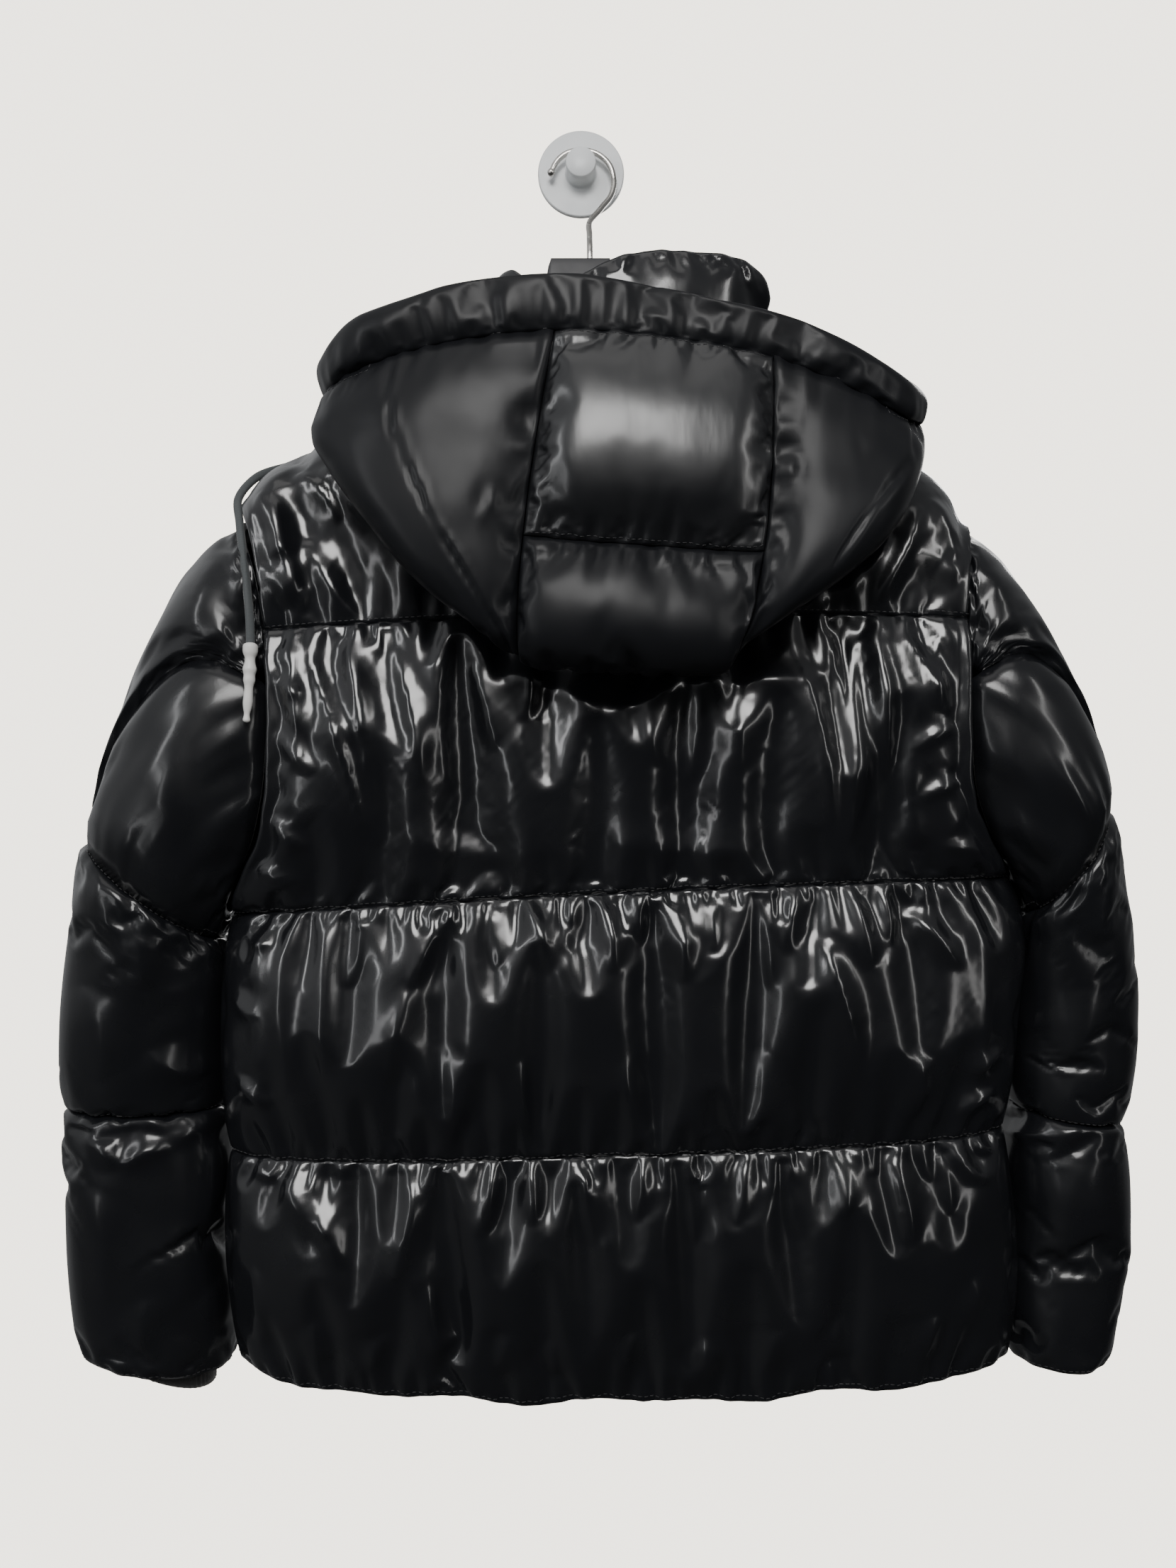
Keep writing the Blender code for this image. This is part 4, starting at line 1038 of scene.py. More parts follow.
def finish(skin, folds):
    """Adds the folds and the hem's waves, doubles the grid, draws the hood in
    and closes the piece with a plain inside of five rows."""
    high, flat = settle(skin)
    raised = fold(skin.base, folds) * np.clip(skin.away / 0.010, 0, 1)
    high = np.maximum(high + raised, THINNEST)
    outside = skin.raised(high) + flat
    if skin.name.endswith("hem"):  # the hem hangs in shallow waves
        x = skin.base[..., 0]
        wave = 0.0016 * np.sin(x / 0.021) + 0.0014 * np.sin(x / 0.0125 + 1.3)
        outside[..., 2] += wave * np.exp(-skin.up / 0.02)
    outside = twice(outside, skin.ring)
    rows = skin.a.shape[0]
    pick = np.unique(np.round(np.linspace(0, rows - 1, 5)).astype(int))
    inside = twice(skin.base, skin.ring)[2 * pick]
    if skin.name.startswith("hood"):
        outside, inside = drawn_in(outside), drawn_in(inside)
    near = np.exp(-skin.away / 0.03)
    values = np.clip(twice(near[..., None], skin.ring)[..., 0], 0, 1)
    obj = closed_wall("padded_" + skin.name, outside, inside, skin.look, skin.ring, values)
    skin.outside = outside
    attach(obj, "jacket")
    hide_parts(skin.name)
    skin.more.get("slot", "shell")


# -------------------- pieces
def body_skin(side, part, seam, look, step):
    """One baffle of the body, or of one front half; each runs a little past its
    two seams, so that no light comes through."""
    past = 0.0010
    word = {HEM: "hem", LOW: "waist", WAIST: "chest", YOKE: "yoke"}[seam]
    name = f"back_{word}" if part == "whole" else f"front_{part}_{word}"

    def surface(a, b):
        a = np.clip(a, 0, 1)
        r = seam - past + (1 + 2 * past) * b
        if part == "whole":
            w = -np.cos(math.pi * a)
        else:
            left, right = half_width(r)
            stop = ZIP_X + (-ZIP_HALF if part == "left" else ZIP_HALF)
            stop = (stop - (left + right) / 2) / ((right - left) / 2)
            edge = -1.0 if part == "left" else 1.0
            w = edge + (stop - edge) * (1 - np.cos(math.pi / 2 * a))
        return body_point(side, w, r)

    def normals(a, b, base):
        centre = np.stack([0 * a + 0.03, 0 * a + MID_Y, base[..., 2] - 0.01], -1)
        normal = outward(surface, a, b, base - centre)
        level = np.minimum(1, 4 * (b if seam == YOKE else b * (1 - b) * 2))
        near = np.minimum(a, 1 - a) if part == "whole" else a
        aside = np.clip(near / 0.12, 0, 1) if seam in (WAIST, YOKE) else np.ones(a.shape)
        return unit(normal * np.stack([aside, 1 + 0 * b, level], -1))

    def rise(a, b):
        up = b if seam != HEM else 0.16 + 0.84 * b
        across = a if part == "whole" else a * 0.97
        most = YOKE_PUFF if seam == YOKE else BODY_PUFF
        return most * bump(up) * bump(across, 8.0)

    gather = 0.055 if seam == YOKE else 0.085
    stiff = 70.0 if seam in (WAIST, YOKE) else 30.0
    return Skin(
        name, surface, normals, rise, step, look,
        form="panel", gather=gather, ease=0.022, bending=stiff, wide=0.03,
    )


def sleeve_skin(side, kind, look, step):
    """One padded piece of a sleeve: the cap lies over the outer line above the
    slanting seam, the others are tubes that close under the arm."""
    start = 0.0035  # station of the upper edge, just off the armhole
    middle = {"cap": 0.5, "upper": 0.9, "forearm": 1.5, "cuff": 2.5}[kind]
    centre = sleeve_point(side, middle, np.linspace(0, 2 * math.pi, 24)).mean(axis=0)

    def turn_at(a):
        if kind == "cap":
            return SLANT * CAP_WIDE * (2 * a - 1)
        return 2 * math.pi * a + math.pi

    def cap_round(t):
        return bump((t / SLANT / CAP_WIDE + 1) / 2, 3.0)

    def off_seam(t):
        return np.clip(off_top(t) / SLANT, 0.12, 1)

    def surface(a, b):
        t = turn_at(a)
        if kind == "cap":
            low, high = start + 0 * t, slant(t) - 0.001
        elif kind == "upper":
            low, high = np.maximum(slant(t) - 0.003, start), 0.996 + 0 * t
        elif kind == "forearm":
            low, high = 1.001 + 0 * t, 1.998 + 0 * t
        else:
            low, high = 2.0 + 0 * t, 3.0 + 0 * t
        return sleeve_point(side, low + (high - low) * b, t)

    def normals(a, b, base):
        away = base - centre
        if kind != "cap":
            away = away * np.array([1, 1, 0.0])
        normal = outward(surface, a, b, away)
        if kind in ("cap", "upper"):
            edge = slant(turn_at(a))
            station = b * edge if kind == "cap" else edge + (1 - edge) * b
            aside = np.clip(station / 0.3, 0, 1)
            normal = unit(normal * np.stack([aside, 1 + 0 * b, 1 + 0 * b], -1))
        return normal

    def rise(a, b):
        t = turn_at(a)
        up = b if kind != "cuff" else b * 0.90
        under = 1 - 0.75 * np.exp(-(((np.mod(t, 2 * math.pi) - math.pi) / 0.5) ** 2))
        if kind in ("forearm", "cuff"):
            under = 0.65 + 0.35 * under
        puff = SLEEVE_PUFF * bump(up) * under
        if kind == "cap":
            puff = puff * cap_round(t)
        if kind == "upper":
            puff = puff * off_seam(t)
        return puff

    form = "curved" if kind == "cap" else "tube"
    full = 0.66 if kind == "upper" else 1.0
    made = Skin(
        f"sleeve_{side}_{kind}", surface, normals, rise, step, look, kind != "cap",
        form=form, gather=0.05, ease=0.03, bending=1.0, full=full,
    )
    t, b = turn_at(made.a), made.b
    if kind == "cap":
        from_armhole = np.clip(b * slant(t) / 0.3, 0, 1)
        made.more["tight"] = 0.008 * from_armhole * cap_round(t)
    if kind == "upper":
        from_armhole = np.clip((slant(t) + (1 - slant(t)) * b) / 0.3, 0, 1)
        off_underarm = np.clip((2.7 - off_top(t)) / 0.6, 0, 1)
        made.more["tight"] = 0.008 * from_armhole * off_seam(t) * off_underarm
    return made


def hood_skin(name, start, stop, top, bottom, look, step):
    """One padded piece of the hood: an outer one, or the one under it. Its rise
    is a sine^0.7 down it times a bump across."""
    under = top == 1
    aside, inset = 0.0004, 0.0010
    lower = 0.006 if under else 0
    low, high = top + inset + lower, bottom - inset + lower
    rise_by = UNDER_PUFF if under else HOOD_PUFF

    def surface(a, b):
        return hood_point(start + aside + (stop - start - 2 * aside) * a, low + (high - low) * b)

    def normals(a, b, base):
        return calm(-plain_normal(surface, a, b), 8)

    def rise(a, b):
        puff = rise_by * np.sin(math.pi * b) ** 0.7 * bump(a, 7.0 if "centre" in name else 3.0)
        if "side" in name:  # flatter along the outer edge
            outer = a if name.endswith("left") else 1 - a
            puff = puff * (0.30 + 0.70 * np.clip(outer / 0.45, 0, 1) ** 1.3)
        return puff

    gather, plain = (0.07, 0.75) if "centre" in name else (0.03, 0.5)
    slot = "lining" if under else "hood_shell"
    return Skin(
        name, surface, normals, rise, step, look,
        form="curved", gather=gather, plain=plain, bending=0.4, slot=slot,
    )


def collar_skin(look, step):
    """The stand collar: its rise is a bump up it times a steeper bump round it."""
    start = math.asin((NECK_X - ZIP_X + ZIP_HALF) / COLLAR_HALF) / (2 * math.pi)
    stop = 1 - math.asin((ZIP_X + ZIP_HALF - NECK_X) / COLLAR_HALF) / (2 * math.pi)

    def surface(a, b):
        return collar_point(start + (stop - start) * np.clip(a, 0, 1), np.clip(b, 0, 1))

    def normals(a, b, base):
        middle = np.stack([0 * a + NECK_X, 0 * a + MID_Y, base[..., 2]], -1)
        return outward(surface, a, b, base - middle)

    def rise(a, b):
        return COLLAR_PUFF * bump(0.01 + 0.90 * b) * bump(a, 8.0)

    return Skin(
        "stand_collar", surface, normals, rise, step, look,
        form="curved", gather=0.03, bending=3.0,
    )


# -------------------- brim
BRIM_SHOWN = 0.0300  # height of the roll as sewn, before it is blown up
BRIM_RINGS, BRIM_SIDES = 230, 30
BRIM_GIRTH = 0.070  # round the roll


def brim_rings():
    """The padded roll round the hood's mouth as sewn: a flattened oval carried
    along the mouth, lower on the right and slimmer at both ends. Returns the
    rings' middles and the rings."""
    count = BRIM_RINGS
    route = brim_route()
    run = run_of(route)
    route = smooth(np.c_[run, route], np.linspace(0, run[-1], count))
    turns = turned(BRIM_SIDES) - math.pi / 2
    low = -BRIM_TALL / 2 - 0.0042  # the roll stands on the hood's edge
    flat = squared(np.cos(turns), 0.8)
    high = low + BRIM_SHOWN * (0.5 + 0.5 * np.sin(turns))
    oval = np.c_[0.42 * BRIM_THICK * flat, high]
    rings = sweep(route, oval, np.array([0, 0, 1.0]))
    for end, reach in ((-0.130, 0.010), (0.178, -0.004)):  # drawn in at its widest
        out = np.clip((rings[..., 0] - end) / (-0.05 if end < 0 else 0.05), 0, 1)
        rings[..., 0] += reach * out
    lower = 1 - 0.24 * np.clip(rings.mean(axis=1)[:, 0] / 0.08, 0, 1)
    seam = rings[:, :1]  # the line it is sewn along
    rings = seam + (rings - seam) * lower[:, None, None]
    route = rings.mean(axis=1)
    ends = np.minimum(np.arange(count), count - 1 - np.arange(count)) / 6.0
    slim = 0.72 + 0.28 * np.sqrt(np.clip(ends, 0, 1))
    rings = route[:, None] + (rings - route[:, None]) * slim[:, None, None]
    return route, rings


class Brim:
    """The brim as cloth, in the form that blow_up works with: a tube held along
    the line where it meets the hood, cut longer, so that it puckers across."""

    def __init__(self, look):
        self.name, self.look, self.ring = "hood_brim", look, True
        route, self.base = brim_rings()
        self.normal = unit(self.base - route[:, None])
        rows, cols = self.base.shape[:2]
        self.a = np.tile(np.arange(cols) / cols, (rows, 1))
        self.turn = np.minimum(self.a, 1 - self.a)  # 0 at the seam under the roll
        self.up = lengths(self.base, 0)
        ends = np.minimum(self.up, self.up[-1:] - self.up)
        self.away = np.minimum(ends, self.turn * BRIM_GIRTH)
        self.more = {"pressure": 9, "bending": 5.0, "hold": self.turn * BRIM_SIDES < 1.2}

    def cut(self, points):
        """The roll as cut: grown all ways from its middle."""
        middle = points.mean(axis=(0, 1))
        return middle + (points - middle) * 1.02

    def ripple(self, seed):
        """Three sines along the roll, of 31, 23 and 14 mm."""
        run = self.up[:, :1]
        rng = np.random.default_rng(seed)
        sizes = (0.031, 0.023, 0.014)
        return sum(np.sin(2 * math.pi * run / size + rng.uniform(0, 6)) for size in sizes)

    def start(self, seed):
        """Points before the roll is blown up: ripples near its seam, and noise."""
        noise = soft_noise(self.a.shape, (self.up[:, :1].max() / 0.02, 8), seed + 3)
        noise *= np.minimum(1, 8 * self.turn)
        ripple = self.ripple(seed) * np.clip(1 - self.turn * 3, 0, 1)
        high = 0.0007 * ripple + 0.0008 * noise
        high = high * np.clip(self.away / 0.01, 0, 1)
        return self.base + self.normal * high[..., None]

    def by_hand(self, seed):
        """The blown-up roll by formula: 2 mm out, with the ripples."""
        return self.base + self.normal * (0.0012 * self.ripple(seed) + 0.002)[..., None]


def finish_brim(skin):
    """The closed tube of the brim; above 3.6 mm only a quarter of its rise stays."""
    high, flat = parted(skin)
    high = np.clip(high, -0.007, 0.0036) + 0.25 * np.maximum(0, high - 0.0036)
    outside = skin.base + flat + skin.normal * high[..., None]
    points, faces = capped(twice(outside, True))
    obj = new_object("padded_hood_brim", points, faces, skin.look)
    point_value(obj, "crease", np.full(len(points), 0.7))
    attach(obj, "jacket")
    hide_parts("hood_brim")


# -------------------- hard pieces
CAP_ROWS = ((0.0, -1.0), (0.5, -0.87), (0.87, -0.5))  # a tube's end: radius, reach


def tube_piece(name, route, radius, look, sides=24):
    """A round tube with rounded ends; radius is one number or one a ring."""
    radius = np.broadcast_to(radius, len(route)).astype(float)
    ahead = unit(np.gradient(route, axis=0))
    side = np.empty_like(ahead)
    side[0] = unit(np.cross(ahead[0], (0.31, 0.52, 0.79)))
    for i in range(1, len(route)):  # carries the first side along without a twist
        side[i] = unit(side[i - 1] - ahead[i] * (side[i - 1] @ ahead[i]))
    lift = np.cross(ahead, side)
    c, s = np.cos(turned(sides))[None, :, None], np.sin(turned(sides))[None, :, None]
    ring = side[:, None] * c + lift[:, None] * s
    rings = route[:, None] + ring * radius[:, None, None]

    def rounded(k, way):
        """The rings past end k, shrinking towards its tip."""
        back, wide = way * ahead[k] * radius[k] * 0.6, ring[k] * radius[k]
        return [route[k] + back * d + wide * max(r, 1e-3) for r, d in CAP_ROWS]

    rings = np.concatenate([rounded(0, 1), rings, rounded(-1, -1)[::-1]])
    return new_object(name, *capped(rings), look)


def turned_piece(name, rows, look, sides=128):
    """A round piece turned about the y axis: rows of (distance, radius)."""
    distance, radius = np.array(rows, float).T[..., None]
    turns = turned(sides)[None]
    x, z = radius * np.cos(turns), radius * np.sin(turns)
    return new_object(name, *capped(np.stack([x, 0 * x - distance, z], -1)), look)


def softened(rows, size=0.0006):
    """A run of (distance, radius), its corners rounded by short parabolas of
    about `size`, four points each."""
    rows = np.asarray(rows, float)
    made = [rows[0]]
    for i in range(1, len(rows) - 1):
        before, here, after = rows[i - 1], rows[i], rows[i + 1]
        near, far = np.linalg.norm(before - here), np.linalg.norm(after - here)
        reach = min(size, 0.4 * near, 0.4 * far)
        p = here + (before - here) / near * reach
        q = here + (after - here) / far * reach
        for t in np.linspace(0, 1, 4):
            made.append((1 - t) ** 2 * p + 2 * t * (1 - t) * here + t * t * q)
    made.append(rows[-1])
    return made


def hanger_piece(look):
    """The hanger: a long flat bar with rounded edges and a block at its middle.
    Its section is a box whose sine and cosine are raised to 0.35."""
    xs = np.unique(np.r_[np.linspace(0, 0.195, 90), HANGER[:, 0], np.linspace(0.019, 0.027, 17)])
    top, low = (np.interp(xs, HANGER[:, 0], HANGER[:, i]) for i in (1, 2))
    xs = np.r_[-xs[:0:-1], xs]
    top, low = np.r_[top[:0:-1], top], np.r_[low[:0:-1], low]
    turns = turned(40)
    y, z = squared(np.cos(turns), 0.35), squared(np.sin(turns), 0.35)
    ends = np.minimum(1, np.sqrt(np.clip((0.195 - np.abs(xs)) / 0.004, 0.02, 1)))
    middle, tall = (top + low) / 2, (top - low) / 2 * ends
    rings = np.stack(
        [
            np.repeat(xs[:, None], len(turns), 1),
            HANGER_Y + HANGER_THICK / 2 * ends[:, None] * y[None],
            middle[:, None] + tall[:, None] * z[None],
        ],
        -1,
    )
    obj = new_object("hanger_bar", *capped(rings), look)
    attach(obj, "jacket")
    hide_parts("hanger")


def hook_pieces(look, white):
    """The hanger's wire hook with its ball, and the round hook on the wall."""
    route = along(HOOK_ROUTE, 180)
    wire = tube_piece("hook_wire", route, WIRE_RADIUS, look)
    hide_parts("hanger_hook")
    turns = np.linspace(0.12, math.pi - 0.12, 20)
    rows = [(-BALL_RADIUS * math.cos(t), BALL_RADIUS * math.sin(t)) for t in turns]
    knob = turned_piece("hook_ball", rows, look, 40)
    points = np.empty(len(knob.data.vertices) * 3, np.float32)
    knob.data.vertices.foreach_get("co", points)
    knob.data.vertices.foreach_set("co", (points.reshape(-1, 3) + route[-1]).ravel())
    peg = turned_piece("round_wall_hook", softened(PEG), white)
    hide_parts("wall_hook")
    for obj, slot in ((wire, "nickel"), (knob, "nickel"), (peg, "white_plastic")):
        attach(obj, "jacket")


def eyelet_piece(look):
    """A pressed metal ring round the drawcord: an oval section turned round."""
    place, face = eyelet_place()
    up = unit(np.cross(face, np.cross((0, 0, 1.0), face)))
    side = np.cross(face, up)
    around, turns = turned(64)[:, None], turned(16)[:, None, None]
    spokes = side * np.cos(around) + up * np.sin(around)
    rise = 0.0006 + 0.0006 * np.sin(turns)
    rings = place + spokes * (0.0047 + 0.0013 * np.cos(turns)) + face * rise
    index = np.arange(16 * 64).reshape(16, 64)
    faces = [quads(np.concatenate([index, index[:1]]), True)]
    obj = new_object("pressed_eyelet", rings, faces, look)
    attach(obj, "jacket")
    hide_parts("cord_eyelet")


def cord_piece(look, tip_look):
    """The drawcord: three lobes that turn slowly round it, under a plait that is
    the product of two waves turning against each other; and its taped tip."""
    place = eyelet_place()[0]
    route = along(np.concatenate([[place], CORD_ROUTE]), 560)
    run = run_of(route)
    sides = 30
    cord = tube_piece("plaited_drawcord", route, CORD_RADIUS, look, sides)
    mesh = cord.data
    points = np.empty(len(mesh.vertices) * 3, np.float32)
    mesh.vertices.foreach_get("co", points)
    points = points.reshape(-1, 3)
    rings = points[:-2].reshape(-1, sides, 3)
    middle = rings.mean(axis=1, keepdims=True)
    turn = turned(sides)[None]
    length = np.r_[[0] * len(CAP_ROWS), run, [run[-1]] * len(CAP_ROWS)][:, None]
    lobes = 0.07 * np.cos(3 * (turn - 0.9 * length / 0.05))
    step = length * 2 * math.pi / 0.0042
    plait = np.sin(9 * turn + step) * np.sin(9 * turn - step)
    rings = middle + (rings - middle) * (0.97 + lobes + 0.035 * plait)[..., None]
    points[:-2] = rings.reshape(-1, 3)
    mesh.vertices.foreach_set("co", points.ravel())
    mesh.update()

    count = 90
    line = along(TIP_ROUTE, count)
    share = np.linspace(0, 1, count)
    lumps = soft_noise((4, count), (4, 14), 6)[1]
    thick = CORD_RADIUS + 0.0014 - 0.0022 * share**1.6 + 0.0009 * lumps * (1 - share * 0.4)
    tip = tube_piece("taped_tip", line, thick, tip_look, 28)
    for obj, node, slot in ((cord, "drawcord", "cord"), (tip, "cord_tip", "cord_tip")):
        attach(obj, "jacket")
        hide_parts(node)
    tuple(place)


def zip_pieces(tape_look, teeth_look):
    """The zip's two tapes, ribbed along, and its row of moulded teeth, which
    come from the left and the right in turn."""
    line = zip_line(26)
    run = run_of(line)
    fine = smooth(np.c_[run, line], np.linspace(0, run[-1], 300))
    for name, x0, x1 in (("zip_tape_left", -0.0079, -0.0031), ("zip_tape_right", 0.0031, 0.0079)):
        across = np.linspace(x0, x1, 7)
        rib = 0.00012 * np.sin(across / 0.0016 * 2 * math.pi)
        outer, inner = (
            fine[:, None] + np.stack([across, high, 0 * across], -1)
            for high in (0.0018 + rib, 0.0008 + 0 * rib)
        )
        obj = closed_wall("woven_" + name, outer, inner, tape_look, False)
        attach(obj, "jacket")
        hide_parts(name)

    pitch = 0.0014
    count = int(run[-1] / pitch)
    at = (np.arange(count) + 0.5) * run[-1] / count
    place = smooth(np.c_[run, line], at)
    ahead = unit(smooth(np.c_[run, line], at + 0.001) - smooth(np.c_[run, line], at - 0.001))
    side = np.where(np.arange(count) % 2 == 0, -1.0, 1.0)
    out = np.broadcast_to((1.0, 0, 0), ahead.shape)
    deep = unit(np.cross(ahead, out))
    deep *= np.sign(deep[:, 1:2])
    middle = place + side[:, None] * out * 0.0008 + deep * 0.0014
    shape, hull = cut_box()
    tooth = shape * np.array([0.0018, 0.0011, 0.0006])
    made = copies(tooth, hull, middle, out, deep, ahead)
    teeth = new_object("zip_teeth", *made, teeth_look, False)
    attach(teeth, "jacket")
    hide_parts("zip_chain")


def cut_box():
    """Points and outward triangles of a box of half size 1, its edges and corners
    cut: each of its six faces is drawn in to 0.72, slanting faces join them
    along the twelve edges, and a triangle closes each of the eight corners."""

    def number(k, x, y, z):
        return 8 * k + 4 * x + 2 * y + z

    faces = []
    bits = [0, 0, 0]
    for k in range(3):
        i, j = [d for d in range(3) if d != k]
        for end in (0, 1):
            ring = []
            for p, q in ((0, 0), (1, 0), (1, 1), (0, 1)):
                bits[k], bits[i], bits[j] = end, p, q
                ring.append(number(k, *bits))
            faces.append(ring)
    for i, j in itertools.combinations(range(3), 2):
        k = 3 - i - j
        for p, q in itertools.product((0, 1), repeat=2):
            ring = []
            for end, d in ((0, i), (0, j), (1, j), (1, i)):
                bits[i], bits[j], bits[k] = p, q, end
                ring.append(number(d, *bits))
            faces.append(ring)
    for bits in itertools.product((0, 1), repeat=3):
        faces.append([number(0, *bits), number(1, *bits), number(2, *bits)])
    corners = np.array(list(itertools.product((-1, 1), repeat=3)))
    short = 0.72 + 0.28 * np.eye(3)
    shape = (short[:, None] * corners).reshape(-1, 3)
    made = []
    for face in faces:
        middle = shape[face].mean(axis=0)
        turn = np.cross(shape[face[1]] - shape[face[0]], shape[face[2]] - shape[face[1]])
        face = face if turn @ middle > 0 else face[::-1]
        for n in range(1, len(face) - 1):
            made.append((face[0], face[n], face[n + 1]))
    return shape, np.array(made)


def cuff_piece(side, look):
    """A ribbed knitted cuff in the end of a sleeve: up to 6 mm inside it, with 55
    cosine ribs round it, its lower edge hanging out."""
    t, b = np.meshgrid(turned(220), np.linspace(0, 1, 24))
    drop = -0.0075 * b + 0.0096 * b**2 * np.cos(t) if side == "left" else -0.0055 * b
    ring = sleeve_point(side, 2.72 + 0.28 * b, t)
    inward = unit(ring.mean(axis=1, keepdims=True) - ring)
    rib = 0.00035 * np.cos(55 * t) + 0.0003 * np.sin(7 * t + 3 * b)
    step = GAP + 0.0060 * np.minimum(1, 2.2 * b)
    outside = ring + inward * (step - np.maximum(rib, 0) * np.minimum(1, 6 * b))[..., None]
    inside = ring + inward * (step + 0.0018)[..., None]
    for grid in (inside, outside):
        grid[..., 2] += drop
    pick = [0, 6, 12, 18, 23]
    obj = closed_wall(f"knitted_cuff_{side}", outside, inside[pick], look, True)
    round_by = float(lengths(outside, 1)[:, -1].mean())
    tall = float(lengths(outside, 0)[-1].mean())
    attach(obj, "jacket")
    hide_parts(f"inner_cuff_{side}")


def stitch_piece(name, runs, look, long=0.0026, thick=0.00022, step=0.0040):
    """Sewing: short rounded threads laid end to end along lines on the cloth."""
    places, ways, ups = [], [], []
    for line, normal in runs:
        run = run_of(line)
        at = np.arange(step / 2, run[-1], step)
        places.append(on_line(line, run, at))
        ways.append(unit(on_line(line, run, at + 0.001) - places[-1] + 1e-9))
        ups.append(unit(on_line(normal, run, at)))
    place, way, up = map(np.concatenate, (places, ways, ups))
    side = unit(np.cross(way, up))
    up = np.cross(side, way)
    turns = turned(6)
    t, r = np.array([(-0.42, 0.8), (0.0, 1.0), (0.42, 0.8)]).T[..., None]
    c, s = np.cos(turns), np.sin(turns)
    rings = np.stack([t * long + 0 * c, r * thick * c * 1.5, r * thick * s], -1)
    shape, (walls, *fans) = capped(rings)
    shape[-2:, 0] = -0.5 * long, 0.5 * long
    triangles = np.concatenate([walls[:, [0, 1, 2]], walls[:, [0, 2, 3]], *fans])
    made = copies(shape, triangles, place, way, side, up)
    obj = new_object(name, *made, look)
    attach(obj, "jacket")


def edge_line(skin, end, inset=0.0030, lift=0.0001):
    """A line on a finished skin, `inset` from its low or high edge and `lift`
    over the cloth, with the cloth's normals."""
    grid = skin.outside
    up = lengths(grid, 0)
    if end == "high":
        up = up[-1:] - up
    rows = np.argmin(np.abs(up - inset), axis=0)
    cols = np.arange(grid.shape[1])
    line = grid[rows, cols]
    ta = np.roll(line, -1, 0) - np.roll(line, 1, 0)
    above, below = np.minimum(rows + 1, len(grid) - 1), np.maximum(rows - 1, 0)
    normal = unit(np.cross(ta, grid[above, cols] - grid[below, cols]))
    plain = twice(skin.normal, skin.ring)[rows, cols]
    normal *= np.sign(np.sum(normal * plain, -1, keepdims=True))
    line = line + normal * lift
    if not skin.ring:
        line, normal = line[2:-2], normal[2:-2]
    return line, normal


# -------------------- finishes
def shader_of(name, colour, rough, metal=0.0):
    """A material with one Principled shader; returns it, its nodes and shader."""
    made = bpy.data.materials.new(name)
    made.use_nodes = True
    tree = made.node_tree
    shader = tree.nodes["Principled BSDF"]
    shader.inputs["Base Color"].default_value = (*colour, 1)
    shader.inputs["Roughness"].default_value = rough
    shader.inputs["Metallic"].default_value = metal
    return made, tree, shader


def noise_node(tree, scale, detail=2.0, stretch=(1, 1, 1), turn=(0, 0, 0)):
    """A noise in the piece's own coordinates."""
    where = tree.nodes.new("ShaderNodeTexCoord")
    mapping = tree.nodes.new("ShaderNodeMapping")
    mapping.inputs["Scale"].default_value = stretch
    mapping.inputs["Rotation"].default_value = turn
    noise = tree.nodes.new("ShaderNodeTexNoise")
    noise.inputs["Scale"].default_value = scale
    noise.inputs["Detail"].default_value = detail
    tree.links.new(where.outputs["Object"], mapping.inputs["Vector"])
    tree.links.new(mapping.outputs["Vector"], noise.inputs["Vector"])
    return noise


def math_node(tree, kind, a, b):
    """One sum or product of two sockets."""
    node = tree.nodes.new("ShaderNodeMath")
    node.operation = kind
    tree.links.new(a, node.inputs[0])
    tree.links.new(b, node.inputs[1])
    return node.outputs[0]


def range_node(tree, value, low, high, to_low, to_high):
    """Maps low..high to to_low..to_high in a straight line, held at both ends."""
    node = tree.nodes.new("ShaderNodeMapRange")
    for key, number in (("From Min", low), ("From Max", high), ("To Min", to_low), ("To Max", to_high)):
        node.inputs[key].default_value = number
    tree.links.new(value, node.inputs["Value"])
    return node.outputs["Result"]


def bump_node(tree, height, distance, strength, before=None):
    """Relief of a height; `strength` is a number or a socket."""
    node = tree.nodes.new("ShaderNodeBump")
    node.inputs["Distance"].default_value = distance
    tree.links.new(height, node.inputs["Height"])
    if isinstance(strength, (int, float)):
        node.inputs["Strength"].default_value = strength
    else:
        tree.links.new(strength, node.inputs["Strength"])
    if before is not None:
        tree.links.new(before, node.inputs["Normal"])
    return node.outputs["Normal"]


def tint(tree, shader, value, colour, dark, light):
    """The colour varies with a value, from `dark` times it to `light` times it."""
    mix = tree.nodes.new("ShaderNodeMix")
    mix.data_type = "RGBA"
    mix.inputs[6].default_value = (*[c * dark for c in colour], 1)
    mix.inputs[7].default_value = (*[c * light for c in colour], 1)
    tree.links.new(value, mix.inputs[0])
    tree.links.new(mix.outputs[2], shader.inputs["Base Color"])


def wear(tree, shader, scale, band, rough):
    """The gloss varies with a noise: `band` of it maps to the two roughnesses."""
    noise = noise_node(tree, scale, 3.0)
    worn = range_node(tree, noise.outputs["Fac"], *band, *rough)
    tree.links.new(worn, shader.inputs["Roughness"])


